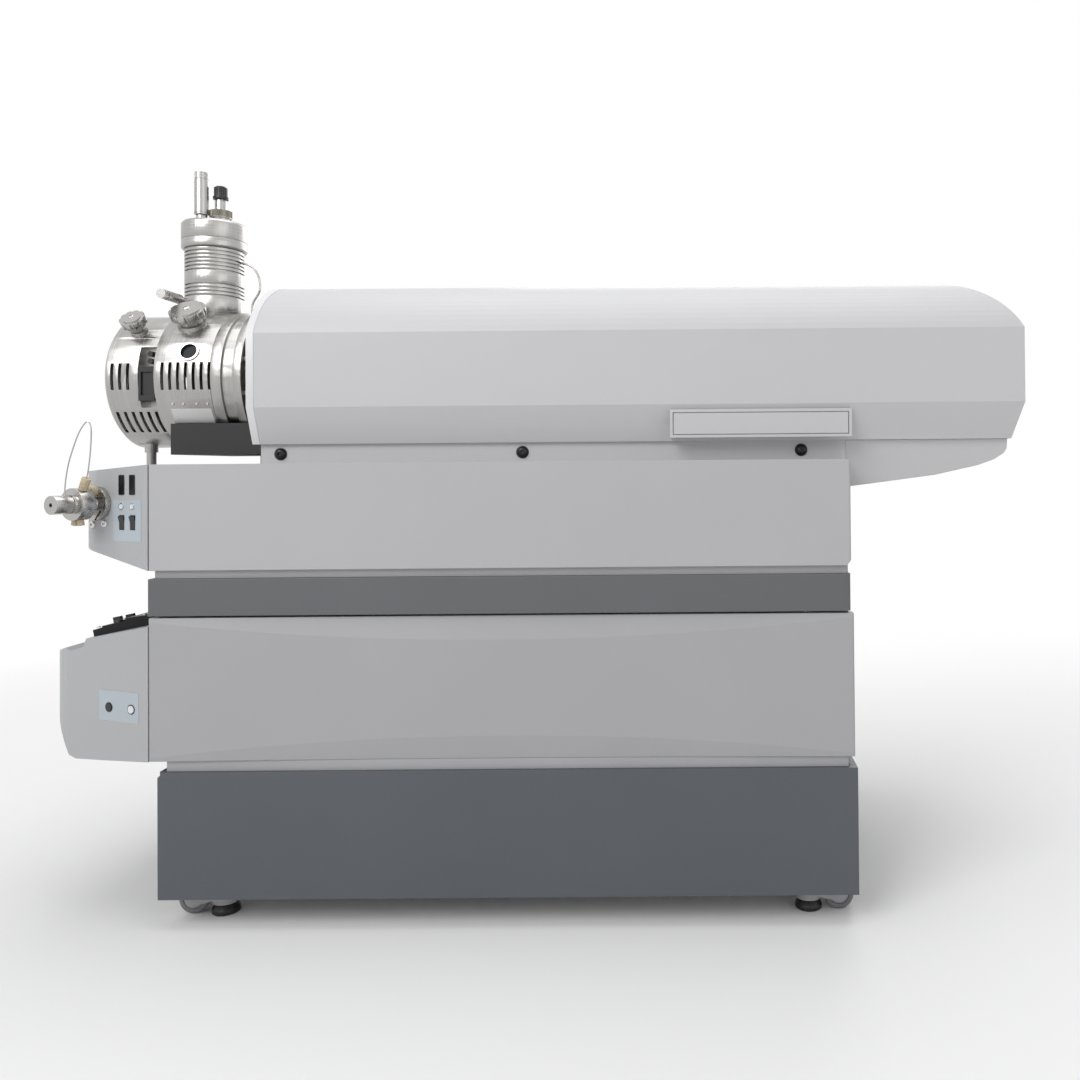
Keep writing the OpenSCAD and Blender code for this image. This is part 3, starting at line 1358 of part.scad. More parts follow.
place() rocker_switch(2);  // rocker_switch_2
place() bezel_button(1);  // bezel_button_1
place() bezel_button(2);  // bezel_button_2
place() valve_body();
place() valve_fittings();
place() sample_loop();
place() nose_button(1);  // nose_button_1
place() nose_button(2);  // nose_button_2
place() pump_body();
place() pump_carriage();
place() lead_screw();
place() source_housing();
place() source_end_drum();
place() source_window();
place() source_tower();
place() tower_cap();
place() vertical_micrometer();
place() side_micrometer();
place() electrode_knob();
place() source_latch(1);  // source_latch_1
place() source_latch(2);  // source_latch_2
place() source_cradle();
place() gas_tube();
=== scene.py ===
"""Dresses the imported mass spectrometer: finishes, small fittings, light and camera."""
import json
import math

import bmesh
import bpy
from mathutils import Matrix, Vector


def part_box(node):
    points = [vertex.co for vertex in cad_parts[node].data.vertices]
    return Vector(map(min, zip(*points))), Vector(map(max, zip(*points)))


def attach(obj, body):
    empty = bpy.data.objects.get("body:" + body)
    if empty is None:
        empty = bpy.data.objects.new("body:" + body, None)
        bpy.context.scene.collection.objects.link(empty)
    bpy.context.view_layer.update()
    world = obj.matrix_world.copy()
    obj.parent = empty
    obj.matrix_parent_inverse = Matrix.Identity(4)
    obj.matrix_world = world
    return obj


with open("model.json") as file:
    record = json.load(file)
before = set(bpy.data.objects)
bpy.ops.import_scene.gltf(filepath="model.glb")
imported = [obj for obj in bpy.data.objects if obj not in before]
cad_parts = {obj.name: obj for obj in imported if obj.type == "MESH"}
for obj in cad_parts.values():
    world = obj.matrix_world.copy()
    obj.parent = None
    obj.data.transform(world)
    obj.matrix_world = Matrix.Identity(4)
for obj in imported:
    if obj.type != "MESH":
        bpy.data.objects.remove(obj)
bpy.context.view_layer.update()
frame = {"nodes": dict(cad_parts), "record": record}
nodes = frame["nodes"]

MM = 0.001
# the cabinet's front seam and middle plane in the row frame, in metres
SEAM_X, MIDDLE_Y = -0.4925, 0.01767
TAPER = math.radians(20)
HALF_W = 280
AXIS_Z = 738
DRUM_R = 108


def at(x, y, z):
    """A point given from the front seam, the middle plane and the floor, in millimetres."""
    return Vector((x * MM + SEAM_X, y * MM + MIDDLE_Y, z * MM))


def frame_at(origin, x_axis, z_axis):
    """Matrix of a local frame: millimetres in, metres out."""
    x, z = Vector(x_axis).normalized(), Vector(z_axis).normalized()
    y = z.cross(x)
    m = Matrix((x, y, z)).transposed().to_4x4()
    m.translation = origin
    return m @ Matrix.Scale(MM, 4)


def on_side(u, z):
    """A place on the front mouldings' right side: u from the seam along the face."""
    origin = at(-u * math.cos(TAPER), -HALF_W + u * math.sin(TAPER), z)
    return frame_at(origin, (math.cos(TAPER), -math.sin(TAPER), 0),
                    (-math.sin(TAPER), -math.cos(TAPER), 0))


def on_drum(x, angle, r=0.0):
    """A place round the source's axis: angle above the right horizontal, +Z outwards."""
    a = math.radians(angle)
    out = (0, -math.cos(a), math.sin(a))
    return frame_at(at(x, out[1] * r, AXIS_Z + out[2] * r), (1, 0, 0), out)


# ---------------------------------------------------------------- materials

def finish(name, color, rough, metallic=0.0, *, spread=0.06, tone=0.03, scale=(60, 60, 60),
           bump=0.05, depth=0.0002, cells=0.0, coat=0.0, ior=1.5, anisotropic=0.0):
    """Principled finish whose roughness, tone and relief vary with procedural textures.

    scale stretches the fine grain; cells adds a fine moulded or cast grain of that scale.
    """
    mat = bpy.data.materials.new(name)
    mat.use_nodes = True
    tree = mat.node_tree
    new, link = tree.nodes.new, tree.links.new
    shader = tree.nodes["Principled BSDF"]
    shader.inputs["Metallic"].default_value = metallic
    shader.inputs["IOR"].default_value = ior
    shader.inputs["Coat Weight"].default_value = coat
    shader.inputs["Coat Roughness"].default_value = 0.12
    shader.inputs["Anisotropic"].default_value = anisotropic
    coords = new("ShaderNodeTexCoord")
    mapping = new("ShaderNodeMapping")
    mapping.inputs["Scale"].default_value = scale
    link(coords.outputs["Object"], mapping.inputs["Vector"])
    grain = new("ShaderNodeTexNoise")
    grain.inputs["Scale"].default_value = 1.0
    grain.inputs["Detail"].default_value = 6.0
    link(mapping.outputs["Vector"], grain.inputs["Vector"])
    cloud = new("ShaderNodeTexNoise")
    cloud.inputs["Scale"].default_value = 7.0
    cloud.inputs["Detail"].default_value = 4.0
    link(coords.outputs["Object"], cloud.inputs["Vector"])

    rough_map = new("ShaderNodeMapRange")
    rough_map.inputs["From Min"].default_value = 0.3
    rough_map.inputs["From Max"].default_value = 0.7
    rough_map.inputs["To Min"].default_value = max(rough - spread, 0.02)
    rough_map.inputs["To Max"].default_value = min(rough + spread, 1.0)
    link(grain.outputs["Fac"], rough_map.inputs["Value"])
    link(rough_map.outputs["Result"], shader.inputs["Roughness"])

    ramp = new("ShaderNodeValToRGB")
    ramp.color_ramp.elements[0].position = 0.3
    ramp.color_ramp.elements[1].position = 0.7
    for element, k in zip(ramp.color_ramp.elements, (1 - tone, 1 + tone)):
        element.color = (*[min(c * k, 1.0) for c in color], 1)
    source = grain if metallic and bump > 0.08 else cloud
    link(source.outputs["Fac"], ramp.inputs["Fac"])
    link(ramp.outputs["Color"], shader.inputs["Base Color"])

    relief = grain.outputs["Fac"]
    if cells:
        pits = new("ShaderNodeTexVoronoi")
        pits.inputs["Scale"].default_value = cells
        link(coords.outputs["Object"], pits.inputs["Vector"])
        both = new("ShaderNodeMath")
        both.operation = "ADD"
        link(grain.outputs["Fac"], both.inputs[0])
        link(pits.outputs["Distance"], both.inputs[1])
        relief = both.outputs["Value"]
    bumper = new("ShaderNodeBump")
    bumper.inputs["Strength"].default_value = bump
    bumper.inputs["Distance"].default_value = depth
    link(relief, bumper.inputs["Height"])
    link(bumper.outputs["Normal"], shader.inputs["Normal"])
    return mat


STEEL = (0.41, 0.40, 0.388)
MATS = {
    "cover_white": finish("cover_paint", (0.51, 0.51, 0.52), 0.42, tone=0.012,
                          scale=(420, 420, 420), bump=0.05, cells=900),
    "rim_white": finish("rim_paint", (0.66, 0.66, 0.67), 0.38, tone=0.01,
                        scale=(420, 420, 420), bump=0.04, cells=900),
    "panel_grey": finish("panel_plastic", (0.42, 0.42, 0.43), 0.46, tone=0.015,
                         scale=(500, 500, 500), bump=0.08, cells=1400),
    "moulding_grey": finish("moulding_plastic", (0.39, 0.395, 0.405), 0.44, tone=0.015,
                            scale=(500, 500, 500), bump=0.08, cells=1400),
    # a darker copy of the panel plastic for the lower panels: painted shade where less light
    # reaches the lower cabinet
    "panel_grey_painted_shade": finish("panel_plastic_painted_shade", (0.36, 0.36, 0.37), 0.46, tone=0.015,
                             scale=(500, 500, 500), bump=0.08, cells=1400),
    "band_grey": finish("band_plastic", (0.108, 0.112, 0.119), 0.5, tone=0.03,
                        scale=(500, 500, 500), bump=0.10, cells=1400),
    "skirt_blue_grey": finish("skirt_paint", (0.080, 0.090, 0.104), 0.5, tone=0.03,
                              scale=(300, 300, 300), bump=0.08, cells=700),
    "frame_grey": finish("frame_paint", (0.36, 0.36, 0.37), 0.55, tone=0.03,
                         scale=(260, 260, 260), bump=0.12, cells=600),
    "turned_x": finish("turned_steel_x", STEEL, 0.33, 1.0, spread=0.09, tone=0.10,
                       scale=(1500, 9, 9), bump=0.10, depth=0.00008, anisotropic=0.35),
    "turned_z": finish("turned_steel_z", STEEL, 0.31, 1.0, spread=0.09, tone=0.10,
                       scale=(9, 9, 1500), bump=0.10, depth=0.00008, anisotropic=0.35),
    "machined": finish("machined_steel", (0.46, 0.45, 0.435), 0.27, 1.0, spread=0.05,
                       tone=0.03, scale=(500, 500, 500), bump=0.03, depth=0.00004),
    "bright": finish("bright_steel", (0.62, 0.61, 0.60), 0.14, 1.0, spread=0.05, tone=0.04,
                     scale=(300, 300, 300), bump=0.03, depth=0.00005),
    "tube_steel": finish("tube_steel", (0.43, 0.42, 0.405), 0.2, 1.0, spread=0.06,
                         tone=0.05, scale=(260, 260, 260), bump=0.06, depth=0.00005),
    "bronze_grey": finish("bronze_grey", (0.20, 0.18, 0.15), 0.36, 1.0, spread=0.08,
                          tone=0.10, scale=(300, 300, 900), bump=0.12, depth=0.00008),
    "aluminium": finish("cast_aluminium", (0.66, 0.66, 0.67), 0.40, 1.0, spread=0.10,
                        tone=0.04, scale=(350, 350, 350), bump=0.12, depth=0.0001, cells=500),
    "black_plastic": finish("black_plastic", (0.012, 0.012, 0.013), 0.42, tone=0.15,
                            scale=(600, 600, 600), bump=0.12, cells=1600),
    "anodised": finish("black_anodised", (0.013, 0.013, 0.015), 0.40, tone=0.12,
                       scale=(30, 900, 900), bump=0.08, ior=1.3),
    "black_oxide": finish("black_oxide_steel", (0.035, 0.034, 0.034), 0.34, 1.0, spread=0.06,
                          tone=0.10, scale=(400, 400, 400), bump=0.06, depth=0.00005),
    "wheel_grey": finish("wheel_tread", (0.17, 0.17, 0.175), 0.62, tone=0.08,
                         scale=(400, 400, 400), bump=0.16, cells=900),
    "hub_grey": finish("hub_plastic", (0.34, 0.34, 0.35), 0.48, tone=0.04,
                       scale=(500, 500, 500), bump=0.08, cells=1200),
    "beige_plastic": finish("beige_plastic", (0.50, 0.42, 0.29), 0.44, tone=0.05,
                            scale=(500, 500, 500), bump=0.10, cells=1200),
    "dark_glass": finish("dark_glass", (0.007, 0.009, 0.011), 0.14, spread=0.04, tone=0.2,
                         scale=(90, 90, 90), bump=0.01, ior=1.2),
    "button_white": finish("button_plastic", (0.66, 0.68, 0.70), 0.30, tone=0.02,
                           scale=(500, 500, 500), bump=0.05, coat=0.3),
    "label_blue": finish("label_film", (0.40, 0.45, 0.49), 0.38, tone=0.02,
                         scale=(800, 800, 800), bump=0.04, coat=0.2),
    "label_white": finish("label_white", (0.68, 0.68, 0.67), 0.42, tone=0.03,
                          scale=(800, 800, 800), bump=0.04, coat=0.2),
    "rod_gold": finish("gold_coating", (0.76, 0.56, 0.26), 0.18, 1.0, spread=0.06,
                       tone=0.05, scale=(8, 900, 900), bump=0.09, depth=0.00005),
    "rubber": finish("black_rubber", (0.016, 0.016, 0.017), 0.66, tone=0.2,
                     scale=(500, 500, 500), bump=0.14, cells=1300),
}

# finishes that differ from the record's slot of their node
SPECIAL = {
    "front_bezel": "moulding_grey", "front_nose": "moulding_grey",
    "source_housing": "turned_x", "source_end_drum": "turned_x",
    "interface_flange": "turned_x", "source_tower": "turned_z", "tower_cap": "turned_z",
    "vertical_micrometer": "turned_z", "side_micrometer": "machined",
    "source_latch_1": "machined", "source_latch_2": "machined",
    "gas_tube": "tube_steel", "sample_loop": "tube_steel", "valve_body": "machined",
    # the lower panels take the darker copy of the panel plastic: painted shade
    "right_lower_panel": "panel_grey_painted_shade", "left_lower_panel": "panel_grey_painted_shade",
    "lead_screw": "bright", "pump_body": "anodised",
}
SLOT_OF = {s["node"]: s["material_slot"] for s in frame["record"]["subparts"]}


def paint(obj, key):
    obj.data.materials.clear()
    obj.data.materials.append(MATS[key])


def soften(obj, width, segments=2, angle=32):
    """Merges the split edges and rounds the sharp ones, so that they catch the light."""
    weld = obj.modifiers.new("weld", "WELD")
    weld.merge_threshold = 2e-6
    bevel = obj.modifiers.new("edges", "BEVEL")
    bevel.width = width * MM
    bevel.segments = segments
    bevel.limit_method = "ANGLE"
    bevel.angle_limit = math.radians(angle)
    bevel.harden_normals = True
    bevel.use_clamp_overlap = True


SOFT_EDGE = {
    "top_cover": 1.2, "base_skirt": 1.0, "mid_band": 1.0, "right_upper_panel": 1.5,
    "left_upper_panel": 1.5, "right_lower_panel": 1.5, "left_lower_panel": 1.5,
    "front_bezel": 1.6, "front_nose": 1.6, "rear_tray": 1.2, "name_plate": 0.8,
    "source_cradle": 1.0, "pump_body": 0.8, "rear_panel": 0.3,
}
NO_BEVEL = {"sample_loop", "gas_tube", "fan_rotor", "electronics_rack", "turbo_pumps",
            "deck_plate", "vertical_micrometer", "side_micrometer"}
for name, obj in nodes.items():
    paint(obj, SPECIAL.get(name, SLOT_OF[name]))
    if name not in NO_BEVEL:
        soften(obj, SOFT_EDGE.get(name, 0.35))


# ---------------------------------------------------------------- shaping

def piece(name, bm, key, body, matrix=None, bevel=0.0):
    """A new object from bm, given in the local millimetres of matrix, riding on body."""
    if matrix is not None:
        bm.transform(matrix)
    bmesh.ops.recalc_face_normals(bm, faces=bm.faces)
    mesh = bpy.data.meshes.new(name)
    bm.to_mesh(mesh)
    bm.free()
    obj = bpy.data.objects.new(name, mesh)
    bpy.context.scene.collection.objects.link(obj)
    mesh.materials.append(MATS[key])
    mesh.shade_smooth()
    if bevel:
        soften(obj, bevel)
    else:
        mesh.set_sharp_from_angle(angle=math.radians(32))
    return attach(obj, body)


def ring_points(shape, segs):
    """Points of one turn: shape is (r, z), or (r, z, sides) for a regular polygon."""
    r, z = shape[0], shape[1]
    sides = shape[2] if len(shape) > 2 else 0
    points = []
    for k in range(segs):
        a = 2 * math.pi * k / segs
        reach = r
        if sides:
            step = 2 * math.pi / sides
            reach = r * math.cos(step / 2) / math.cos(a % step - step / 2)
        points.append((reach * math.cos(a), reach * math.sin(a), z))
    return points


def add_lathe(bm, profile, segs=36, matrix=Matrix.Identity(4)):
    """Adds a turned form about local Z; the profile's ends are closed by caps."""
    rings = [[bm.verts.new(matrix @ Vector(p)) for p in ring_points(s, segs)]
             for s in profile]
    for a, b in zip(rings, rings[1:]):
        for k in range(segs):
            n = (k + 1) % segs
            bm.faces.new((a[k], a[n], b[n], b[k]))
    bm.faces.new(rings[0][::-1])
    bm.faces.new(rings[-1])


def rounded(w, h, r, n=5):
    """Outline of a rounded rectangle about the origin."""
    points = []
    for q, (sx, sy) in enumerate(((1, 1), (-1, 1), (-1, -1), (1, -1))):
        for k in range(n + 1):
            a = math.radians(90 * (q + k / n))
            points.append((sx * (w / 2 - r) + r * math.cos(a),
                           sy * (h / 2 - r) + r * math.sin(a)))
    return points


def circle(x, y, r, n=28):
    return [(x + r * math.cos(2 * math.pi * k / n), y + r * math.sin(2 * math.pi * k / n))
            for k in range(n)]


def moved(points, x, y):
    return [(px + x, py + y) for px, py in points]


def add_plate(bm, outlines, z0, z1):
    """Adds a flat plate between z0 and z1: the first outline is its edge, the rest holes."""
    edges = []
    for line in outlines:
        verts = [bm.verts.new((x, y, z0)) for x, y in line]
        edges += [bm.edges.new((a, b)) for a, b in zip(verts, verts[1:] + verts[:1])]
    made = bmesh.ops.triangle_fill(bm, edges=edges, use_beauty=True)
    faces = [f for f in made["geom"] if isinstance(f, bmesh.types.BMFace)]
    top = bmesh.ops.extrude_face_region(bm, geom=faces)
    lift = [v for v in top["geom"] if isinstance(v, bmesh.types.BMVert)]
    bmesh.ops.translate(bm, vec=(0, 0, z1 - z0), verts=lift)


def button_screw(bm, matrix, r=7.0, height=3.6, socket=2.6):
    """A button-head socket screw standing on local z = 0."""
    add_lathe(bm, [(r, -0.3), (r, 0.5), (r * 0.93, height * 0.45), (r * 0.78, height * 0.78),
                   (r * 0.58, height * 0.95), (socket * 1.25, height),
                   (socket * 1.12, height, 6), (socket * 1.12, height * 0.35, 6),
                   (0.3, height * 0.25)], 36, matrix)


def pan_screw(bm, matrix, r=2.6, height=1.4):
    """A small pan-head screw with a round drive recess."""
    add_lathe(bm, [(r, -0.2), (r, height * 0.4), (r * 0.8, height * 0.9), (r * 0.42, height),
                   (r * 0.4, height * 0.4, 6), (0.1, height * 0.3)], 24, matrix)


# ---------------------------------------------------------------- cabinet and cover

STRIP_SCREW_X, STRIP_Y, STRIP_SCREW_Z = (147, 477, 857), 220, 618.3

# socket screws of the recessed strips, with a washer each
bm = bmesh.new()
for side in (-1, 1):
    for x in STRIP_SCREW_X:
        m = frame_at(at(x, side * STRIP_Y, STRIP_SCREW_Z), (1, 0, 0), (0, side, 0))
        add_lathe(bm, [(8.6, -0.3), (8.6, 0.7), (8.0, 1.0), (5, 1.0)], 36, m)
        button_screw(bm, m @ Matrix.Translation((0, 0, 1.0)), 7.4, 4.4, 2.6)
piece("strip_screws", bm, "black_oxide", "root")

COVER_Z, COVER_HW, TUCK, TUCK_H, CREASE, COVER_H, ROOF_R = 631.5, 245, 19, 49, 149, 228, 130
COVER_X0 = 112
OPENING_R = DRUM_R + 5


def cover_outline(grow, steps=18):
    """Half outline of the cover from its lower edge to the middle of the roof, (y, z)."""
    roof_z = COVER_H - ROOF_R
    run = math.sqrt(ROOF_R ** 2 - (CREASE - roof_z) ** 2)
    hw, r = COVER_HW + grow, ROOF_R + grow
    a0 = math.acos((run + grow) / r)
    line = [(hw - TUCK, 0), (hw, TUCK_H)]
    for i in range(steps + 1):
        a = a0 + (math.pi / 2 - a0) * i / steps
        line.append((COVER_HW - run + r * math.cos(a), roof_z + r * math.sin(a)))
    return line


def cover_band(name, x0, x1, grow, key):
    """A thin band round the cover's section between x0 and x1."""
    bm = bmesh.new()
    half_out, half_in = cover_outline(grow), cover_outline(-1.0)
    out = half_out + [(-y, z) for y, z in half_out[::-1]]
    inn = half_in + [(-y, z) for y, z in half_in[::-1]]
    loops = []
    for x, line in ((x0, inn), (x0, out), (x1, out), (x1, inn)):
        loops.append([bm.verts.new(at(x, y, z + COVER_Z)) for y, z in line])
    for a, b in zip(loops, loops[1:] + loops[:1]):
        for k in range(len(out) - 1):
            bm.faces.new((a[k], a[k + 1], b[k + 1], b[k]))
    for k in (0, len(out) - 1):
        bm.faces.new([line[k] for line in loops])
    return piece(name, bm, key, "root", bevel=0.4)


cover_band("cover_rim", COVER_X0 - 0.6, COVER_X0 + 9.5, 0.7, "rim_white")

# sealing lip between the cover's front opening and the source interface
bm = bmesh.new()
turn = frame_at(at(0, 0, AXIS_Z), (0, 1, 0), (1, 0, 0))
segs = 96
rings = []
for x, r in ((COVER_X0 - 2, OPENING_R - 0.5), (COVER_X0 - 4, OPENING_R + 2.5),
             (COVER_X0 - 3, OPENING_R + 5), (COVER_X0 + 0.3, OPENING_R + 5.5),
             (COVER_X0 + 0.3, OPENING_R - 0.5)):
    rings.append([bm.verts.new(at(x, r * math.cos(math.pi * k / segs),
                                  AXIS_Z + r * math.sin(math.pi * k / segs)))
                  for k in range(segs + 1)])
for a, b in zip(rings, rings[1:] + rings[:1]):
    for k in range(segs):
        bm.faces.new((a[k], a[k + 1], b[k + 1], b[k]))
for k in (0, segs):
    bm.faces.new([line[k] for line in rings])
piece("interface_seal", bm, "rubber", "root")

REAR_X, FAN_Y, FAN_Z, FAN_SCREW = 912, 140, 536.5, 52

# fixing screws of the rear panel and of the fan
bm = bmesh.new()
for y in (-250, -90, 90, 250):
    for z in (212, 592):
        pan_screw(bm, frame_at(at(REAR_X, y, z), (0, 1, 0), (1, 0, 0)), 3.6, 1.9)
for s in (-1, 1):
    for t in (-1, 1):
        place = at(REAR_X, FAN_Y + s * FAN_SCREW, FAN_Z + t * FAN_SCREW)
        pan_screw(bm, frame_at(place, (0, 1, 0), (1, 0, 0)), 2.8, 1.6)
piece("rear_screws", bm, "bright", "root")

# ---------------------------------------------------------------- front mouldings

# tinted windows of the two displays, each in a thin frame
for i, u in enumerate((46, 27), 1):
    m = on_side(u, 578.5)
    bm = bmesh.new()
    add_plate(bm, [rounded(8.7, 24.6, 1.0)], -0.95, -0.15)
    piece(f"display_window_{i}", bm, "dark_glass", "root", m)
    bm = bmesh.new()
    add_plate(bm, [rounded(10.6, 26.6, 1.8), rounded(8.5, 24.4, 1.0)], -0.2, 0.45)
    piece(f"display_frame_{i}", bm, "black_plastic", "root", m)

# bare label plates round the controls
bm = bmesh.new()
holes = [moved(rounded(9.9, 19.9, 0.5, 2), u - 36, 529 - 531.5) for u in (45.5, 26)]
holes = [[(-x, y) for x, y in line] for line in holes]
holes += [circle(-(u - 36), 550 - 531.5, 3.6) for u in (46, 27)]
add_plate(bm, [rounded(50, 55, 2.2)] + holes, 0.0, 0.4)
piece("bezel_label", bm, "label_blue", "root", on_side(36, 531.5))
bm = bmesh.new()
add_plate(bm, [rounded(71, 40, 2.2)] + [circle(-(u - 51.5), 285 - 287, 5.5)
                                      for u in (69, 29)], 0.0, 0.4)
piece("nose_label", bm, "label_blue", "root", on_side(51.5, 287))

bm = bmesh.new()
for u, z in ((99, 525.5), (77, 527)):
    pan_screw(bm, on_side(u, z), 4.6, 2.4)
piece("bezel_screws", bm, "bright", "root")

# collars round the round buttons
for i, (u, z, r, body) in enumerate(((46, 550, 3.2, "bezel"), (27, 550, 3.2, "bezel"),
                                     (69, 285, 5.0, "nose"), (29, 285, 5.0, "nose"))):
    bm = bmesh.new()
    add_plate(bm, [circle(0, 0, r + 1.5, 40), circle(0, 0, r + 0.35, 40)], 0.0, 0.9)
    piece(f"{body}_collar_{i % 2 + 1}", bm, "bright" if body == "bezel" else "black_plastic",
          "root", on_side(u, z), bevel=0.2)

# ---------------------------------------------------------------- syringe pump

bm = bmesh.new()
lean = math.atan(21 / 105)
pump = frame_at(at(0, -236, 394), (math.cos(lean), 0, math.sin(lean)),
                (-math.sin(lean), 0, math.cos(lean)))
for y in (5, 215):
    for x in (-94.5, -57.5, -30):
        button_screw(bm, pump @ Matrix.Translation((x, y, 14.6 if x > -58 else 10.6)),
                     2.6, 1.6, 1.1)
piece("pump_screws", bm, "bright", "root")

# ---------------------------------------------------------------- ion source

def drum_plate(name, x0, x1, a0, a1, r0, r1, key, body):
    """A plate bent round the source's axis between the angles a0 and a1."""
    bm = bmesh.new()
    n = 14
    loops = []
    for x, r in ((x0, r0), (x1, r0), (x1, r1), (x0, r1)):
        line = []
        for k in range(n + 1):
            a = math.radians(a0 + (a1 - a0) * k / n)
            line.append(bm.verts.new(at(x, -r * math.cos(a), AXIS_Z + r * math.sin(a))))
        loops.append(line)
    for a, b in zip(loops, loops[1:] + loops[:1]):
        for k in range(n):
            bm.faces.new((a[k], a[k + 1], b[k + 1], b[k]))
    for k in (0, n):
        bm.faces.new([line[k] for line in loops])
    return piece(name, bm, key, body, bevel=0.15)


drum_plate("source_label", -72, -12, -39.5, -26.5, DRUM_R - 0.3, DRUM_R + 0.5,
           "label_white", "source")
bm = bmesh.new()
for x in (-68, -52, -32, -16):
    pan_screw(bm, on_drum(x, -22.5, DRUM_R), 2.4, 1.3)
piece("source_rivets", bm, "bright", "source")

# glass and ring of the sight port
port = on_drum(-42.5, 20, DRUM_R - 2.5)
bm = bmesh.new()
add_lathe(bm, [(12.0, -3.2), (12.0, -0.4), (11.6, 0.0), (4, 0.35)], 40, port)
piece("sight_glass", bm, "dark_glass", "source")
bm = bmesh.new()
add_plate(bm, [circle(0, 0, 15.0, 48), circle(0, 0, 11.9, 48)], -1.5, 4.0)
piece("sight_ring", bm, "bright", "source", port, bevel=0.5)

# knurled ring under the electrode knob
bm = bmesh.new()
teeth = 72
ring = frame_at(at(-50, 8, 1004.3), (1, 0, 0), (0, 0, 1))
inner = [(14.5 * math.cos(math.pi * k / teeth), 14.5 * math.sin(math.pi * k / teeth))
         for k in range(2 * teeth)]
outer = [((16.8 if k % 2 else 16.2) * math.cos(math.pi * k / teeth),
          (16.8 if k % 2 else 16.2) * math.sin(math.pi * k / teeth)) for k in range(2 * teeth)]
add_plate(bm, [outer, inner], 0.4, 10.8)
piece("knurled_ring", bm, "bronze_grey", "source", ring, bevel=0.12)

# scale lines of the micrometers' thimbles: raised fine ribs round the lower edge
for name, origin, x_axis, z_axis, r, count in (
        ("vertical_scale", at(-72, -9, 1005.3), (1, 0, 0), (0, 0, 1), 10.4, 36),
        ("side_scale", at(-83, -54.3, 862), (1, 0, 0), (0, -1, 0), 7.4, 30)):
    bm = bmesh.new()
    m = frame_at(origin, x_axis, z_axis)
    for k in range(count):
        a = 2 * math.pi * k / count
        spot = m @ Matrix.Rotation(a, 4, "Z") @ Matrix.Translation((r, 0, 0))
        made = bmesh.ops.create_cube(bm, size=1.0)
        long_mark = 5.0 if k % 5 == 0 else 3.0
        bmesh.ops.transform(bm, matrix=spot @ Matrix.Translation((0, 0, 1 + long_mark / 2))
                            @ Matrix.Diagonal((0.25, 0.22, long_mark, 1)), verts=made["verts"])
    piece(name, bm, "black_plastic",
          "vertical_micrometer" if name[0] == "v" else "side_micrometer")

# screws on the tower's retaining ring and on the retaining knobs
bm = bmesh.new()
for k in range(6):
    a = math.radians(60 * k + 20)
    m = frame_at(at(-56 + 43.6 * math.cos(a), 43.6 * math.sin(a), 988.7), (1, 0, 0),
                 (math.cos(a), math.sin(a), 1.0))
    button_screw(bm, m, 2.2, 1.2, 0.9)
piece("cap_screws", bm, "bright", "tower_cap")
for i, (x, a, r) in enumerate(((-54, 50, 136.3), (-130, 42, 134.3)), 1):
    bm = bmesh.new()
    button_screw(bm, on_drum(x, a, r), 5.0 if i == 1 else 3.8, 2.4, 2.0)
    piece(f"latch_screw_{i}", bm, "bright", f"source_latch_{i}")

# hub discs of the wheels
for i in range(1, 5):
    lo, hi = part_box(f"caster_wheel_{i}")
    mid = (lo + hi) / 2
    bm = bmesh.new()
    for s in (-1, 1):
        m = frame_at(mid, (1, 0, 0), (0, s, 0))
        add_lathe(bm, [(12.6, 6.5), (12.6, 8.9), (11.8, 9.3), (7.6, 9.3), (7.2, 8.6),
                       (3.4, 8.6)], 36, m)
    piece(f"hub_{i}", bm, "hub_grey", f"wheel_{i}")

# ---------------------------------------------------------------- light, floor and camera

def white_to_camera(tree, shader_out, target, factor=None):
    """Mixes white into a shader where the camera, gloss or glass looks at it."""
    new, link = tree.nodes.new, tree.links.new
    paths = new("ShaderNodeLightPath")
    white = new("ShaderNodeEmission" if factor else "ShaderNodeBackground")
    white.inputs["Color"].default_value = (1, 1, 1, 1)
    white.inputs["Strength"].default_value = 1.0
    last = paths.outputs["Is Camera Ray"]
    for ray in ("Is Glossy Ray", "Is Transmission Ray"):
        most = new("ShaderNodeMath")
        most.operation = "MAXIMUM"
        link(last, most.inputs[0])
        link(paths.outputs[ray], most.inputs[1])
        last = most.outputs["Value"]
    if factor:
        product = new("ShaderNodeMath")
        product.operation = "MULTIPLY"
        link(last, product.inputs[0])
        link(factor, product.inputs[1])
        last = product.outputs["Value"]
    mix = new("ShaderNodeMixShader")
    link(last, mix.inputs["Fac"])
    link(shader_out, mix.inputs[1])
    link(white.outputs[0], mix.inputs[2])
    link(mix.outputs["Shader"], target)


world = bpy.data.worlds.new("studio")
bpy.context.scene.world = world
world.use_nodes = True
sky = world.node_tree.nodes["Background"]
sky.inputs["Color"].default_value = (1.0, 1.0, 1.0, 1)
sky.inputs["Strength"].default_value = 0.38
white_to_camera(world.node_tree, sky.outputs[0],
                world.node_tree.nodes["World Output"].inputs["Surface"])

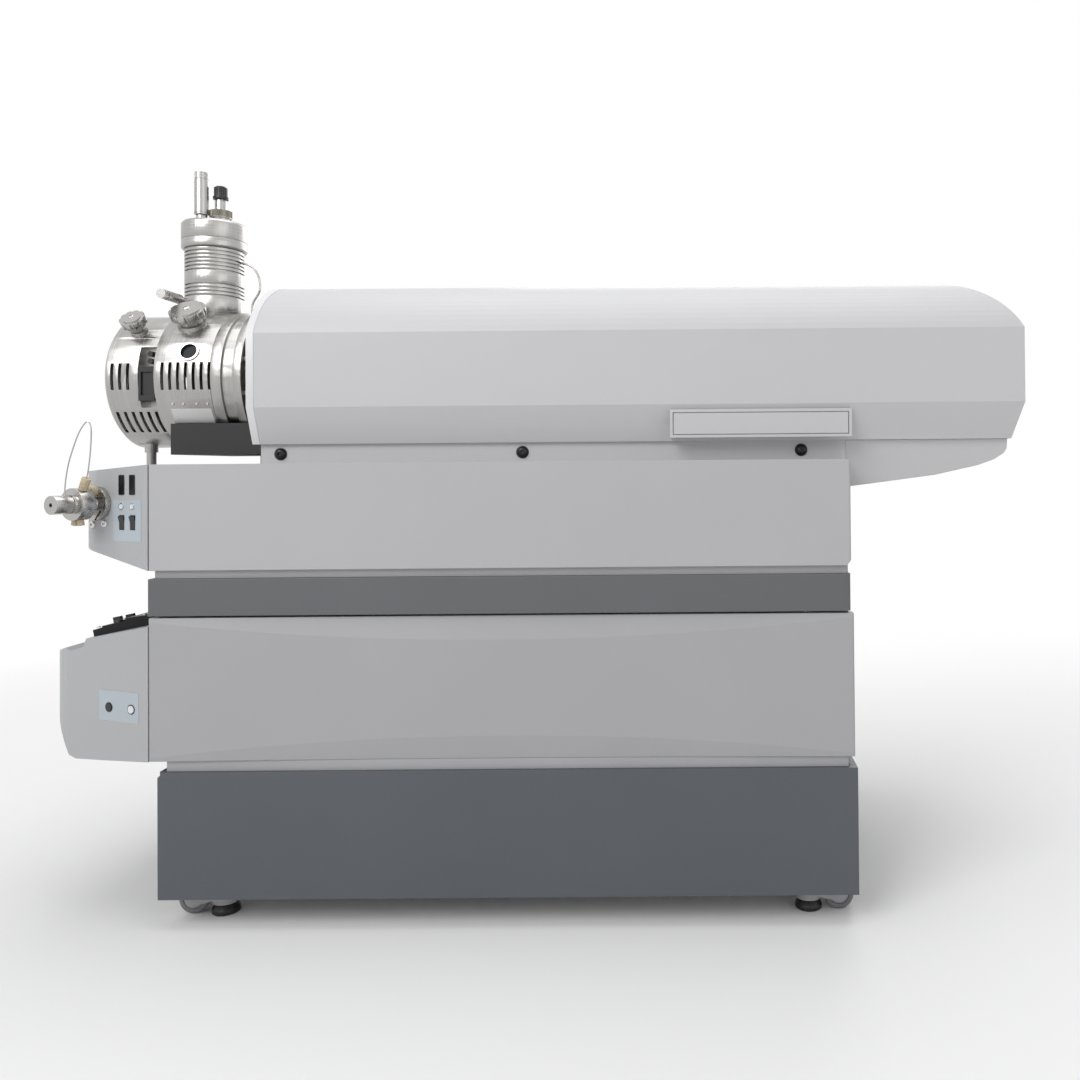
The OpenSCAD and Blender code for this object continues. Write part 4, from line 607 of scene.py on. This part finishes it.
bm = bmesh.new()
bmesh.ops.create_circle(bm, cap_ends=True, segments=96, radius=14.0)
mesh = bpy.data.meshes.new("floor")
bm.to_mesh(mesh)
bm.free()
floor = bpy.data.objects.new("floor", mesh)
bpy.context.scene.collection.objects.link(floor)
ground = bpy.data.materials.new("floor")
ground.use_nodes = True
tree = ground.node_tree
tree.nodes["Principled BSDF"].inputs["Base Color"].default_value = (0.86, 0.86, 0.86, 1)
tree.nodes["Principled BSDF"].inputs["Roughness"].default_value = 0.75
spot = tree.nodes.new("ShaderNodeTexCoord")
length = tree.nodes.new("ShaderNodeVectorMath")
length.operation = "LENGTH"
tree.links.new(spot.outputs["Object"], length.inputs[0])
fade = tree.nodes.new("ShaderNodeMapRange")
fade.inputs["From Min"].default_value = 0.9
fade.inputs["From Max"].default_value = 2.4
tree.links.new(length.outputs["Value"], fade.inputs["Value"])
white_to_camera(tree, tree.nodes["Principled BSDF"].outputs[0],
                tree.nodes["Material Output"].inputs["Surface"], fade.outputs["Result"])
mesh.materials.append(ground)


MIDDLE = Vector((0, 0, 0.6))


def lamp(name, place, size, power):
    """A square area lamp at place, pointing at the part's middle; power in watts."""
    data = bpy.data.lights.new(name, "AREA")
    data.shape = "SQUARE"
    data.size = size
    data.energy = power
    obj = bpy.data.objects.new(name, data)
    bpy.context.scene.collection.objects.link(obj)
    obj.location = place
    obj.rotation_mode = "QUATERNION"
    obj.rotation_quaternion = (MIDDLE - Vector(place)).to_track_quat("-Z", "Y")


lamp("key", (-1.6, -2.6, 2.6), 2.0, 66)
lamp("fill", (2.6, -2.2, 1.4), 2.4, 15)
lamp("top", (0.1, 0.0, 3.2), 2.6, 40)
lamp("back", (0.6, 3.0, 1.8), 2.6, 40)

lens = bpy.data.cameras.new("camera")
lens.sensor_width = 36
lens.lens = 925 / 1080 * 36
lens.shift_x = -0.1403
lens.shift_y = -0.0756
camera = bpy.data.objects.new("camera", lens)
bpy.context.scene.collection.objects.link(camera)
camera.location = at(708.3, -1482, 594.7)
camera.rotation_mode = "XYZ"
camera.rotation_euler = [math.radians(a) for a in (90.597, 0.468, 0.042)]
bpy.context.scene.camera = camera

bpy.context.scene.view_settings.view_transform = "Standard"
